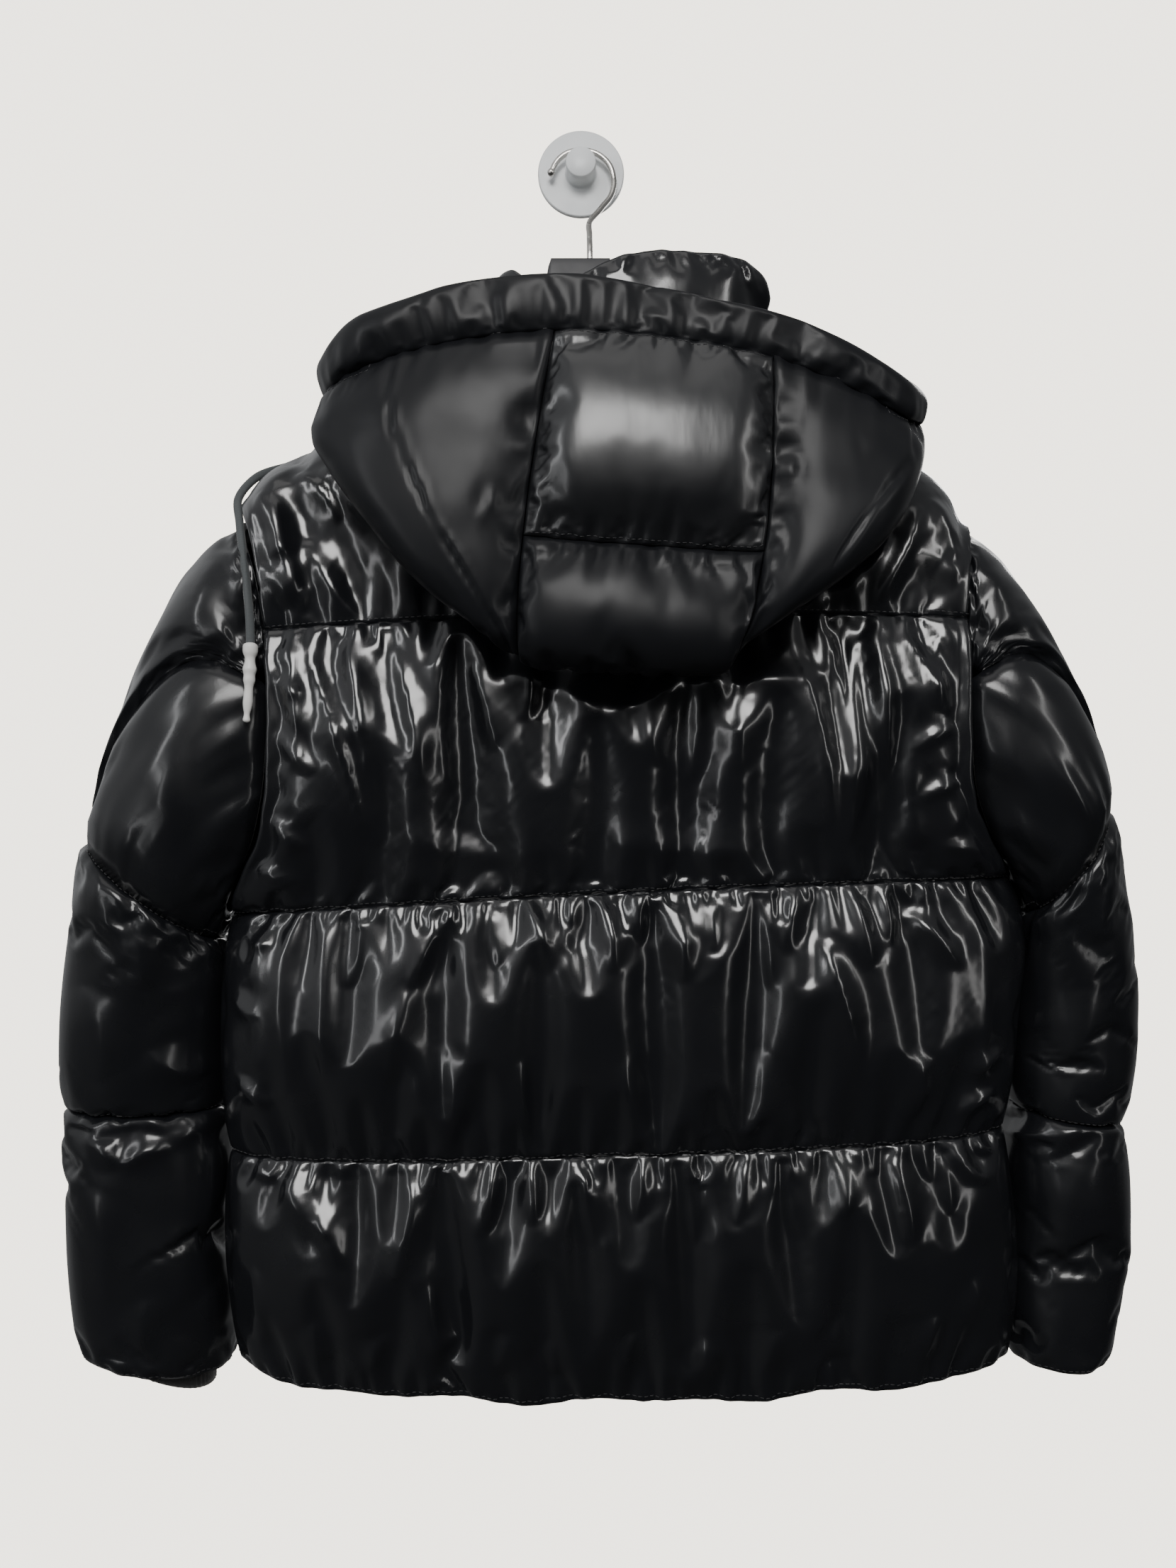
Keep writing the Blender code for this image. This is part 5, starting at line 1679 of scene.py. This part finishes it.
def glossy_cloth(name, colour, rough, crinkle, coat, gloss, level=0.5, calm_part=0.04):
    """Coated nylon: near-black, a clear coat, crinkles that grow at the seams."""
    made, tree, shader = shader_of(name, colour, rough)
    near = tree.nodes.new("ShaderNodeAttribute")
    near.attribute_name = "crease"
    share = range_node(tree, near.outputs["Fac"], 0.05, 0.9, calm_part, 0.28 * crinkle)
    creases = noise_node(tree, 30, 2.0, (1.6, 1.0, 0.5))
    small = noise_node(tree, 90, 2.0, (1.5, 1.0, 0.6), (0.3, 0.2, 0.5))
    weave = noise_node(tree, 2600, 1.0)
    normal = bump_node(tree, creases.outputs["Fac"], 0.0022, share)
    normal = bump_node(tree, small.outputs["Fac"], 0.0006, share, normal)
    normal = bump_node(tree, weave.outputs["Fac"], 0.00004, 0.4, normal)
    tree.links.new(normal, shader.inputs["Normal"])
    tree.links.new(normal, shader.inputs["Coat Normal"])
    wear(tree, shader, 26, (0.35, 0.65), (rough - 0.04, rough + 0.06))
    tint(tree, shader, noise_node(tree, 9, 2.0).outputs["Fac"], colour, 0.8, 1.25)
    shader.inputs["Specular IOR Level"].default_value = level
    shader.inputs["Coat Weight"].default_value = gloss
    shader.inputs["Coat Roughness"].default_value = coat
    shader.inputs["Coat IOR"].default_value = 1.5
    shader.inputs["IOR"].default_value = 1.5
    return made


def matt_cloth(name, colour, rough, scale, depth, sheen=0.25):
    """Woven or knitted cloth: two noises as yarn, a little sheen."""
    made, tree, shader = shader_of(name, colour, rough)
    yarn = noise_node(tree, scale, 2.0, (1, 1, 0.45))
    normal = bump_node(tree, yarn.outputs["Fac"], depth, 0.8)
    tree.links.new(normal, shader.inputs["Normal"])
    shade = noise_node(tree, scale * 0.6, 3.0)
    tint(tree, shader, shade.outputs["Fac"], colour, 0.7, 1.35)
    shader.inputs["Sheen Weight"].default_value = sheen
    shader.inputs["Sheen Roughness"].default_value = 0.4
    return made


def satin_metal(name, colour, rough):
    """Brushed or cast metal: fine scratches and a little change of gloss."""
    made, tree, shader = shader_of(name, colour, rough, 1.0)
    grain = noise_node(tree, 900, 2.0, (1, 1, 0.15))
    tree.links.new(bump_node(tree, grain.outputs["Fac"], 0.00003, 0.5), shader.inputs["Normal"])
    wear(tree, shader, 120, (0.3, 0.7), (rough * 0.8, rough * 1.25))
    return made


def moulded(name, colour, rough, grain=700, depth=0.00004):
    """Moulded plastic: a faint grain and a little change of gloss."""
    made, tree, shader = shader_of(name, colour, rough)
    noise = noise_node(tree, grain, 2.0)
    tree.links.new(bump_node(tree, noise.outputs["Fac"], depth, 0.5), shader.inputs["Normal"])
    wear(tree, shader, 60, (0.3, 0.7), (rough * 0.85, rough * 1.2))
    return made


# -------------------- folds
# Folds on the back: x and z of both ends, sideways bow, width, height.
FOLDS = {
    "front_left_yoke": (
        (-0.1847, -0.2479, -0.2129, -0.2957, 0.0, 0.0142, 0.007),
    ),
    "back_yoke": (
        (-0.1847, -0.2479, -0.2129, -0.2957, 0.0, 0.0142, 0.007),
        (-0.2029, -0.2752, -0.1902, -0.3207, 0.0018, 0.0071, 0.0035),
        (-0.1938, -0.2707, -0.1765, -0.348, -0.0027, 0.0071, 0.005),
        (-0.1811, -0.2593, -0.1547, -0.2934, 0.0036, 0.0065, 0.004),
        (-0.1665, -0.2548, -0.1356, -0.298, 0.0036, 0.0065, 0.0045),
        (-0.1583, -0.2707, -0.0991, -0.3298, 0.0046, 0.0083, 0.0045),
        (-0.1765, -0.3025, -0.1447, -0.3526, -0.0027, 0.0071, 0.0035),
        (-0.2029, -0.3207, -0.1847, -0.3435, 0.0027, 0.0083, 0.004),
        (0.1648, -0.3435, 0.1989, -0.298, -0.0036, 0.0077, 0.004),
        (0.1898, -0.3435, 0.2176, -0.2807, -0.0027, 0.0071, 0.005),
        (0.2149, -0.3116, 0.2449, -0.3276, 0.0027, 0.0106, 0.0035),
        (0.1375, -0.3503, 0.1807, -0.3207, -0.0027, 0.0077, 0.0035),
        (0.224, -0.2752, 0.2399, -0.3162, 0.0027, 0.0071, 0.0035),
    ),
    "back_chest": (
        (-0.1739, -0.3754, -0.1385, -0.4994, 0.0044, 0.0063, 0.0045),
        (-0.1504, -0.3643, -0.1318, -0.5039, 0.0035, 0.0063, 0.0045),
        (-0.1868, -0.3687, -0.1761, -0.4485, 0.0018, 0.0052, 0.003),
        (-0.123, -0.3643, -0.103, -0.4618, 0.0035, 0.0069, 0.004),
        (-0.0919, -0.3687, -0.0787, -0.4884, -0.0035, 0.0092, 0.0035),
        (-0.0698, -0.3865, -0.0521, -0.4396, 0.0027, 0.0069, 0.003),
        (-0.0521, -0.3909, 0.0144, -0.4184, 0.0062, 0.0086, 0.004),
        (0.0144, -0.4184, 0.1473, -0.3962, 0.0097, 0.0086, 0.004),
        (-0.0308, -0.3798, -0.0335, -0.4197, 0.0018, 0.0052, 0.0035),
        (0.0387, -0.3975, 0.0498, -0.4485, -0.0027, 0.0075, 0.003),
        (0.0742, -0.3975, 0.0711, -0.4618, 0.0022, 0.0063, 0.004),
        (0.1074, -0.3909, 0.103, -0.4529, -0.0027, 0.0075, 0.003),
        (0.1606, -0.3599, 0.173, -0.4981, 0.0035, 0.0058, 0.005),
        (0.1756, -0.3581, 0.1819, -0.4817, -0.0027, 0.0052, 0.0045),
        (0.1889, -0.3599, 0.1969, -0.4596, 0.0022, 0.0052, 0.004),
        (0.1384, -0.3798, 0.1606, -0.4884, 0.0044, 0.0069, 0.004),
        (0.2093, -0.3643, 0.227, -0.413, 0.0035, 0.0046, 0.0035),
        (0.227, -0.3665, 0.2328, -0.4175, -0.0022, 0.0046, 0.0035),
        (0.2115, -0.4219, 0.2191, -0.5016, -0.0035, 0.0081, 0.003),
        (-0.1965, -0.3865, -0.1744, -0.4064, -0.0022, 0.0046, 0.0026),
        (-0.1921, -0.4263, -0.1673, -0.4529, -0.0022, 0.0052, 0.0028),
        (-0.1974, -0.4795, -0.1744, -0.5016, -0.0022, 0.0046, 0.0024),
        (-0.2071, -0.5114, -0.1832, -0.522, -0.0022, 0.0046, 0.0022),
        (0.2137, -0.4396, 0.2412, -0.4219, 0.0022, 0.0046, 0.0026),
        (0.2182, -0.4706, 0.2456, -0.4573, 0.0022, 0.0046, 0.0026),
        (0.2337, -0.4999, 0.2625, -0.5052, 0.0022, 0.0046, 0.0024),
        (-0.1141, -0.4928, -0.0344, -0.5083, -0.0044, 0.0115, 0.0025),
        (0.0188, -0.4972, 0.1163, -0.5016, -0.0044, 0.0127, 0.0025),
    ),
    "back_waist": (
        (-0.0787, -0.5389, -0.1075, -0.5903, -0.0022, 0.0063, 0.0045),
        (-0.1075, -0.5903, -0.1207, -0.6545, -0.0018, 0.0069, 0.004),
        (-0.0344, -0.5291, -0.0202, -0.5814, 0.0022, 0.0058, 0.004),
        (0.1517, -0.557, 0.1765, -0.6443, 0.0035, 0.0069, 0.0045),
        (0.2071, -0.5415, 0.2412, -0.5792, 0.0035, 0.0063, 0.0045),
        (-0.2063, -0.5459, -0.2036, -0.6656, 0.0027, 0.0075, 0.003),
        (-0.1859, -0.5442, -0.185, -0.6611, -0.0027, 0.0069, 0.003),
        (-0.1646, -0.5415, -0.1619, -0.6545, 0.0027, 0.0075, 0.003),
        (-0.1407, -0.5362, -0.1469, -0.5903, 0.0018, 0.0058, 0.004),
        (-0.0556, -0.5291, -0.0503, -0.577, -0.0018, 0.0052, 0.0035),
        (-0.0056, -0.5291, -0.0113, -0.5681, 0.0018, 0.0052, 0.0035),
        (0.0153, -0.5273, 0.0215, -0.5805, 0.0018, 0.0058, 0.004),
        (0.0432, -0.5273, 0.0387, -0.5637, -0.0018, 0.0052, 0.0035),
        (0.0622, -0.5273, 0.0684, -0.5858, 0.0018, 0.0058, 0.004),
        (0.0897, -0.5273, 0.0862, -0.5681, -0.0018, 0.0052, 0.0035),
        (0.1141, -0.5282, 0.1234, -0.5903, 0.0018, 0.0058, 0.004),
        (0.1384, -0.5291, 0.1349, -0.5681, -0.0018, 0.0052, 0.0035),
        (0.1748, -0.5291, 0.1836, -0.5778, 0.0018, 0.0058, 0.004),
        (0.1938, -0.5291, 0.1969, -0.5637, 0.0018, 0.0046, 0.0035),
        (-0.0366, -0.6368, -0.0335, -0.6842, -0.0022, 0.0052, 0.003),
        (0.212, -0.6279, 0.2129, -0.6797, 0.0027, 0.0052, 0.0035),
        (-0.0875, -0.6257, -0.0787, -0.6877, 0.0027, 0.0069, 0.0025),
        (0.0277, -0.6346, 0.0365, -0.6842, -0.0022, 0.0069, 0.0025),
        (0.1163, -0.6301, 0.1119, -0.6824, 0.0022, 0.0069, 0.0025),
        (0.2558, -0.5415, 0.2514, -0.6611, 0.0027, 0.0081, 0.003),
        (-0.216, -0.5548, -0.1974, -0.5681, -0.0022, 0.0058, 0.0035),
        (-0.2195, -0.5991, -0.2018, -0.6133, -0.0022, 0.0058, 0.003),
        (-0.216, -0.6523, -0.1961, -0.67, -0.0022, 0.0058, 0.0035),
        (0.2514, -0.6478, 0.2713, -0.6346, 0.0022, 0.0058, 0.0035),
        (0.2448, -0.6771, 0.2669, -0.6611, 0.0022, 0.0058, 0.004),
    ),
    "back_hem": (
        (-0.216, -0.7032, -0.0964, -0.6997, 0.0013, 0.0052, 0.0026),
        (-0.0986, -0.6966, 0.0808, -0.6939, 0.0013, 0.0046, 0.0028),
        (0.0786, -0.6939, 0.2545, -0.6886, 0.0013, 0.0046, 0.0028),
        (-0.1992, -0.7019, -0.1575, -0.752, -0.0044, 0.0092, 0.0045),
        (-0.1752, -0.7054, -0.1487, -0.7697, -0.0035, 0.0075, 0.004),
        (-0.1075, -0.7187, -0.1185, -0.7785, 0.0022, 0.0063, 0.004),
        (-0.0964, -0.7808, -0.0866, -0.8348, -0.0022, 0.0063, 0.004),
        (-0.0565, -0.7032, -0.0627, -0.7497, 0.0018, 0.0052, 0.0035),
        (-0.0335, -0.7032, -0.029, -0.7409, 0.0018, 0.0052, 0.0035),
        (0.0037, -0.7019, 0.0091, -0.7542, -0.0018, 0.0058, 0.0035),
        (0.0387, -0.7019, 0.0356, -0.7387, 0.0018, 0.0052, 0.0035),
        (0.0667, -0.701, 0.0737, -0.7551, 0.0018, 0.0058, 0.0035),
        (0.1039, -0.7001, 0.1012, -0.7409, 0.0018, 0.0052, 0.0035),
        (0.134, -0.6992, 0.142, -0.7506, -0.0018, 0.0058, 0.0035),
        (0.1703, -0.6984, 0.1686, -0.7387, 0.0018, 0.0052, 0.0035),
        (0.1996, -0.6975, 0.2102, -0.7564, 0.0022, 0.0058, 0.004),
        (0.2315, -0.6966, 0.2368, -0.7409, 0.0018, 0.0052, 0.0035),
        (0.2474, -0.6842, 0.2705, -0.7054, -0.0027, 0.0052, 0.0045),
        (0.2412, -0.6966, 0.2625, -0.7232, -0.0027, 0.0058, 0.004),
        (-0.216, -0.701, -0.1974, -0.7187, -0.0027, 0.0052, 0.004),
        (-0.1619, -0.8361, -0.1673, -0.8073, 0.0018, 0.0069, 0.003),
        (-0.1318, -0.8375, -0.123, -0.814, 0.0018, 0.0058, 0.003),
        (-0.0503, -0.8406, -0.0423, -0.8096, 0.0018, 0.0069, 0.003),
        (-0.014, -0.8419, -0.0175, -0.8171, 0.0018, 0.0058, 0.0026),
        (0.0277, -0.8419, 0.0365, -0.8118, 0.0018, 0.0069, 0.003),
        (0.0853, -0.8392, 0.0808, -0.814, 0.0018, 0.0063, 0.0028),
        (0.1234, -0.8366, 0.1305, -0.8073, 0.0018, 0.0069, 0.003),
        (0.1717, -0.8339, 0.165, -0.8051, 0.0018, 0.0063, 0.003),
        (0.2217, -0.8313, 0.227, -0.8029, 0.0018, 0.0069, 0.003),
        (0.2581, -0.8251, 0.2514, -0.7808, 0.0018, 0.0069, 0.003),
        (-0.2027, -0.8295, -0.2063, -0.7763, -0.0018, 0.0069, 0.003),
    ),
    "hood_side_left": (
        (-0.1126, -0.2061, -0.111, -0.2313, 0.0, 0.0017, -0.0018),
        (-0.111, -0.2304, -0.1068, -0.2669, 0.0, 0.0017, -0.0018),
        (-0.1072, -0.2648, -0.0942, -0.3088, 0.0, 0.0017, -0.0018),
        (-0.095, -0.3067, -0.0649, -0.3528, 0.0, 0.0017, -0.0018),
        (-0.0665, -0.3502, -0.0439, -0.3804, 0.0, 0.0017, -0.0018),
        (-0.0607, -0.3033, -0.0464, -0.2941, 0.0017, 0.0033, 0.0022),
        (-0.0481, -0.2945, -0.0138, -0.2849, 0.0021, 0.0033, 0.0024),
        (-0.049, -0.3477, -0.0297, -0.3536, 0.0017, 0.0033, 0.0022),
        (-0.0343, -0.3561, -0.0217, -0.3494, -0.0017, 0.0033, 0.002),
    ),
    "hood_centre_lower": (
        (-0.0188, -0.3088, 0.0223, -0.3159, -0.0025, 0.0044, 0.0024),
        (0.0214, -0.3159, 0.0537, -0.3222, 0.0021, 0.0044, 0.0024),
        (0.0516, -0.3222, 0.1002, -0.3251, -0.0021, 0.0044, 0.0024),
    ),
    "hood_side_right": (
        (0.2016, -0.2438, 0.1999, -0.2656, 0.0, 0.0017, -0.0018),
        (0.2003, -0.2639, 0.1798, -0.2991, 0.0, 0.0017, -0.0018),
        (0.1806, -0.2966, 0.1605, -0.3285, 0.0, 0.0017, -0.0018),
        (0.1102, -0.2598, 0.1337, -0.2857, 0.0021, 0.0033, 0.0024),
        (0.1027, -0.2949, 0.1253, -0.3318, 0.0029, 0.0038, 0.0026),
        (0.1019, -0.3201, 0.1211, -0.336, 0.0017, 0.0033, 0.0022),
        (0.0943, -0.3486, 0.1111, -0.3603, 0.0017, 0.0033, 0.002),
        (0.1165, -0.2145, 0.1396, -0.2313, 0.0025, 0.0065, 0.0022),
    ),
    "sleeve_left_upper": (
        (-0.2766, -0.4413, -0.2539, -0.4937, 0.0046, 0.0118, 0.003),
        (-0.3039, -0.4664, -0.2857, -0.5028, 0.0027, 0.0083, 0.003),
        (-0.2402, -0.4163, -0.222, -0.4527, 0.0036, 0.0083, 0.0035),
        (-0.2357, -0.4709, -0.2152, -0.5028, 0.0036, 0.0071, 0.0035),
        (-0.2584, -0.521, -0.2266, -0.5346, 0.0027, 0.0071, 0.003),
    ),
    "sleeve_left_forearm": (
        (-0.313, -0.521, -0.3039, -0.5619, 0.0036, 0.0077, 0.0035),
        (-0.2812, -0.5437, -0.288, -0.5938, -0.0027, 0.0083, 0.0035),
        (-0.2493, -0.5574, -0.253, -0.6075, 0.0027, 0.0083, 0.0035),
        (-0.3221, -0.5938, -0.313, -0.653, 0.0036, 0.0106, 0.0026),
        (-0.2903, -0.6348, -0.263, -0.6552, -0.0036, 0.0083, 0.003),
        (-0.2448, -0.6257, -0.2311, -0.6598, 0.0027, 0.0077, 0.003),
    ),
    "sleeve_left_cuff": (
        (-0.3276, -0.6848, -0.3039, -0.7158, -0.0027, 0.0065, 0.0045),
        (-0.3039, -0.7158, -0.2785, -0.703, 0.0023, 0.0065, 0.0045),
        (-0.2794, -0.703, -0.2257, -0.6812, 0.0027, 0.0071, 0.004),
        (-0.3221, -0.7303, -0.313, -0.8031, 0.0036, 0.0095, 0.0026),
        (-0.2584, -0.703, -0.263, -0.7576, 0.0027, 0.0083, 0.003),
        (-0.2903, -0.835, -0.2857, -0.7986, 0.0018, 0.0071, 0.0028),
        (-0.2539, -0.835, -0.2584, -0.8031, 0.0018, 0.0071, 0.0028),
        (-0.2357, -0.7303, -0.2311, -0.7986, -0.0027, 0.0083, 0.0026),
    ),
    "sleeve_right_upper": (
        (0.2627, -0.4118, 0.2877, -0.4618, -0.0036, 0.0083, 0.0035),
        (0.2558, -0.4436, 0.2695, -0.4937, -0.0027, 0.0071, 0.0035),
        (0.2968, -0.4391, 0.3241, -0.4846, 0.0036, 0.0095, 0.003),
        (0.3104, -0.4709, 0.3359, -0.48, 0.0023, 0.0053, 0.0035),
        (0.2831, -0.48, 0.3059, -0.5073, 0.0027, 0.0071, 0.003),
    ),
    "sleeve_right_forearm": (
        (0.3013, -0.521, 0.3195, -0.5619, 0.0036, 0.0083, 0.0035),
        (0.3332, -0.5028, 0.3432, -0.5619, 0.0027, 0.0077, 0.0035),
        (0.2831, -0.5346, 0.2877, -0.5938, -0.0027, 0.0077, 0.0032),
        (0.3377, -0.5938, 0.3286, -0.653, 0.0027, 0.0095, 0.0026),
        (0.2922, -0.6302, 0.3104, -0.6598, 0.0036, 0.0077, 0.003),
    ),
    "sleeve_right_cuff": (
        (0.2786, -0.6848, 0.3041, -0.7103, -0.0027, 0.0065, 0.0042),
        (0.3041, -0.7103, 0.3432, -0.6875, 0.0027, 0.0065, 0.0042),
        (0.3377, -0.7121, 0.3309, -0.7895, -0.0027, 0.0095, 0.0026),
        (0.2877, -0.7258, 0.2922, -0.7849, 0.0027, 0.0083, 0.0028),
        (0.3104, -0.8304, 0.3068, -0.7986, 0.0018, 0.0071, 0.0028),
    ),
    "sleeve_left_cap": (
        (-0.2357, -0.3207, -0.2448, -0.3663, -0.0036, 0.0095, 0.003),
        (-0.2266, -0.3571, -0.263, -0.3936, 0.0036, 0.0095, 0.003),
        (-0.2184, -0.3025, -0.2243, -0.348, 0.0023, 0.0065, 0.0035),
    ),
    "sleeve_right_cap": (
        (0.2604, -0.3253, 0.2786, -0.3663, 0.0036, 0.0083, 0.003),
        (0.2558, -0.348, 0.3013, -0.3936, -0.0036, 0.0095, 0.0032),
        (0.2831, -0.3526, 0.315, -0.4118, 0.0036, 0.0095, 0.003),
    ),
}

# -------------------- finishes used
BLACK = (0.0075, 0.0080, 0.0095)
HOOD_BLACK = (0.0080, 0.0085, 0.0100)
SHELL = glossy_cloth("Glossy padded shell", BLACK, 0.22, 1.0, 0.10, 0.55)
HOOD_CLOTH = glossy_cloth("Glossy hood shell", HOOD_BLACK, 0.34, 1.2, 0.19, 0.48, 0.5, 0.13)
HOOD_SIDE = glossy_cloth("Satin hood side", HOOD_BLACK, 0.40, 0.6, 0.26, 0.08, 0.17)
SLEEVE_CLOTH = glossy_cloth("Glossy sleeve shell", BLACK, 0.26, 0.8, 0.13, 0.30, 0.34)
LINING = matt_cloth("Hood lining", (0.012, 0.012, 0.013), 0.55, 900, 0.00015)
KNIT = matt_cloth("Knitted cuff", (0.014, 0.014, 0.015), 0.9, 1400, 0.0003, 0.4)
TAPE = matt_cloth("Woven zip tape", (0.012, 0.012, 0.013), 0.8, 2200, 0.0001)
TEETH = moulded("Moulded zip teeth", (0.02, 0.02, 0.021), 0.35)
METAL = satin_metal("Dark zip metal", (0.25, 0.25, 0.26), 0.3)
NICKEL = satin_metal("Satin nickel", (0.62, 0.60, 0.57), 0.27)
CHARCOAL = moulded("Charcoal hanger", (0.040, 0.040, 0.043), 0.55, 500, 0.00008)
WHITE = moulded("White wall hook", (0.74, 0.76, 0.77), 0.4)
CORD = matt_cloth("Grey drawcord", (0.060, 0.067, 0.070), 0.75, 2600, 0.00012, 0.3)
TIP = moulded("White cord tip", (0.72, 0.72, 0.70), 0.35, 160, 0.0004)
THREAD = matt_cloth("Black thread", (0.016, 0.016, 0.018), 0.5, 3000, 0.00005)

# -------------------- build
FINE = 0.0036  # length of a grid cell, before the grid is doubled
left_seam, right_seam = HOOD_SEAMS
hood = [
    hood_skin("hood_side_left", 0, left_seam, 0, 1, HOOD_SIDE, FINE),
    hood_skin("hood_centre_upper", left_seam, right_seam, 0, HOOD_CROSS, HOOD_CLOTH, 0.0032),
    hood_skin("hood_centre_lower", left_seam, right_seam, HOOD_CROSS, 1, HOOD_SIDE, 0.0032),
    hood_skin("hood_side_right", right_seam, 1, 0, 1, HOOD_SIDE, FINE),
    hood_skin("hood_under", 0, 1, 1, 2, LINING, 0.006),
]
backs = [body_skin("back", "whole", seam, SHELL, FINE) for seam in (HEM, LOW, WAIST, YOKE)]
fronts = [
    body_skin("front", part, seam, SHELL, 0.0058)
    for seam in (HEM, LOW, WAIST, YOKE)
    for part in SIDES
]
sleeves = [
    sleeve_skin(side, kind, SLEEVE_CLOTH, 0.0040)
    for side in SIDES
    for kind in ("cap", "upper", "forearm", "cuff")
]
collar = collar_skin(SHELL, 0.0034)
brim = Brim(HOOD_SIDE)
skins = backs + fronts + sleeves + hood + [collar]
blow_up([brim] + skins)

cord_piece(CORD, TIP)
for skin in skins:
    finish(skin, FOLDS.get(skin.name, ()))
finish_brim(brim)
hanger_piece(CHARCOAL)
hook_pieces(NICKEL, WHITE)
eyelet_piece(METAL)
zip_pieces(TAPE, TEETH)
for side in SIDES:
    cuff_piece(side, KNIT)
for node in ("zip_slider", "zip_pull"):
    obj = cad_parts[node]
    obj.data.materials.clear()
    obj.data.materials.append(METAL)

body_runs = [edge_line(skin, "low") for skin in backs + fronts]
sleeve_runs = [edge_line(skin, "high") for skin in sleeves if "cap" not in skin.name]
left_side, centre, _, right_side = hood[:4]
hood_runs = [edge_line(centre, "high")]
hood_runs += [edge_line(skin, "low") for skin in (centre, left_side, right_side)]
stitch_piece("body_sewing", body_runs, THREAD)
stitch_piece("sleeve_sewing", sleeve_runs, THREAD)
stitch_piece("hood_sewing", hood_runs, THREAD)


# -------------------- stage
FLOOR_Z = -1.75


def floor_and_light():
    """A pale round floor, a large window in front, weak ones at the sides, and
    a soft room, lighter from above, from the wall and from the left."""
    turns, radii = turned(96), np.array([0.001, 0.3, 0.6, 0.9, 1.0])[:, None]
    x, y = radii * np.cos(turns), radii * np.sin(turns)
    top = quads(np.arange(x.size).reshape(x.shape), True)
    points = np.stack([x, y, FLOOR_Z + 0 * x], -1)
    floor = new_object("floor", points, [top[:, ::-1]], None, closed=False)
    made, tree, shader = shader_of("Pale floor", (0.80, 0.78, 0.74), 0.85)
    shader.inputs["Emission Color"].default_value = (1, 0.975, 0.93, 1)
    shader.inputs["Emission Strength"].default_value = 0.35
    noise = noise_node(tree, 6, 3.0)
    tree.links.new(bump_node(tree, noise.outputs["Fac"], 0.0004, 0.2), shader.inputs["Normal"])
    floor.data.materials.append(made)
    floor.visible_glossy = False

    def panel(name, place, target, size, watts, colour):
        light = bpy.data.lights.new(name, "AREA")
        light.shape = "RECTANGLE"
        light.size, light.size_y = size
        light.energy = watts
        light.color = colour
        obj = bpy.data.objects.new(name, light)
        bpy.context.scene.collection.objects.link(obj)
        obj.location = place
        way = Vector(target) - Vector(place)
        obj.rotation_euler = way.to_track_quat("-Z", "Y").to_euler()
        return obj

    chest = (0, -0.14, -0.45)
    lights = [
        panel("front_window", (-0.10, -2.35, 0.95), chest, (1.15, 0.95), 50, (1, 0.99, 0.975)),
        panel("left_window", (-1.90, -1.65, 0.45), chest, (0.20, 1.25), 9, (0.98, 0.99, 1)),
        panel("right_window", (1.85, -1.70, 0.45), chest, (0.18, 1.25), 8, (1, 0.99, 0.97)),
        panel("left_low", (-1.45, -1.75, -0.50), chest, (0.16, 0.9), 2.2, (0.98, 0.99, 1)),
        panel("right_low", (1.50, -1.75, -0.50), chest, (0.16, 0.9), 2.0, (1, 0.99, 0.97)),
        panel("ceiling_light", (-0.1, -0.75, 1.45), (-0.1, -0.55, 0), (1.6, 0.9), 4, (1, 0.985, 0.96)),
        panel("far_light", (0.7, 1.8, 0.5), chest, (1.1, 0.8), 16, (1, 0.99, 0.97)),
    ]

    world = bpy.data.worlds.new("Soft room")
    bpy.context.scene.world = world
    world.use_nodes = True
    tree = world.node_tree
    out = tree.nodes["World Output"]
    seen = tree.nodes["Background"]
    seen.inputs["Color"].default_value = (3.3, 3.12, 2.78, 1)
    seen.inputs["Strength"].default_value = 1.0
    room = tree.nodes.new("ShaderNodeBackground")
    where = tree.nodes.new("ShaderNodeTexCoord")
    split = tree.nodes.new("ShaderNodeSeparateXYZ")
    tree.links.new(where.outputs["Generated"], split.inputs[0])
    up = range_node(tree, split.outputs["Z"], -0.1, 0.6, 0.014, 0.20)
    wall = range_node(tree, split.outputs["Y"], 0.1, 1.0, 0.0, 0.22)
    left = range_node(tree, split.outputs["X"], -0.75, -0.15, 0.40, 0.0)
    level = range_node(tree, split.outputs["Z"], -0.22, 0.08, 0.15, 1.0)
    left = math_node(tree, "MULTIPLY", left, level)
    total = math_node(tree, "ADD", math_node(tree, "ADD", up, wall), left)
    tree.links.new(total, room.inputs["Strength"])
    room.inputs["Color"].default_value = (0.97, 0.985, 1.0, 1)
    path = tree.nodes.new("ShaderNodeLightPath")
    mix = tree.nodes.new("ShaderNodeMixShader")
    tree.links.new(path.outputs["Is Camera Ray"], mix.inputs[0])
    tree.links.new(room.outputs[0], mix.inputs[1])
    tree.links.new(seen.outputs[0], mix.inputs[2])
    tree.links.new(mix.outputs[0], out.inputs["Surface"])


def camera():
    """27 mm on a 36 mm sensor, level, facing the wall."""
    data = bpy.data.cameras.new("camera")
    data.lens = 27
    data.sensor_width = 36
    data.clip_start = 0.01
    obj = bpy.data.objects.new("camera", data)
    bpy.context.scene.collection.objects.link(obj)
    obj.location = (0.0053, -0.89, -0.460)
    obj.rotation_euler = (math.pi / 2, 0, 0)
    bpy.context.scene.camera = obj


floor_and_light()
camera()
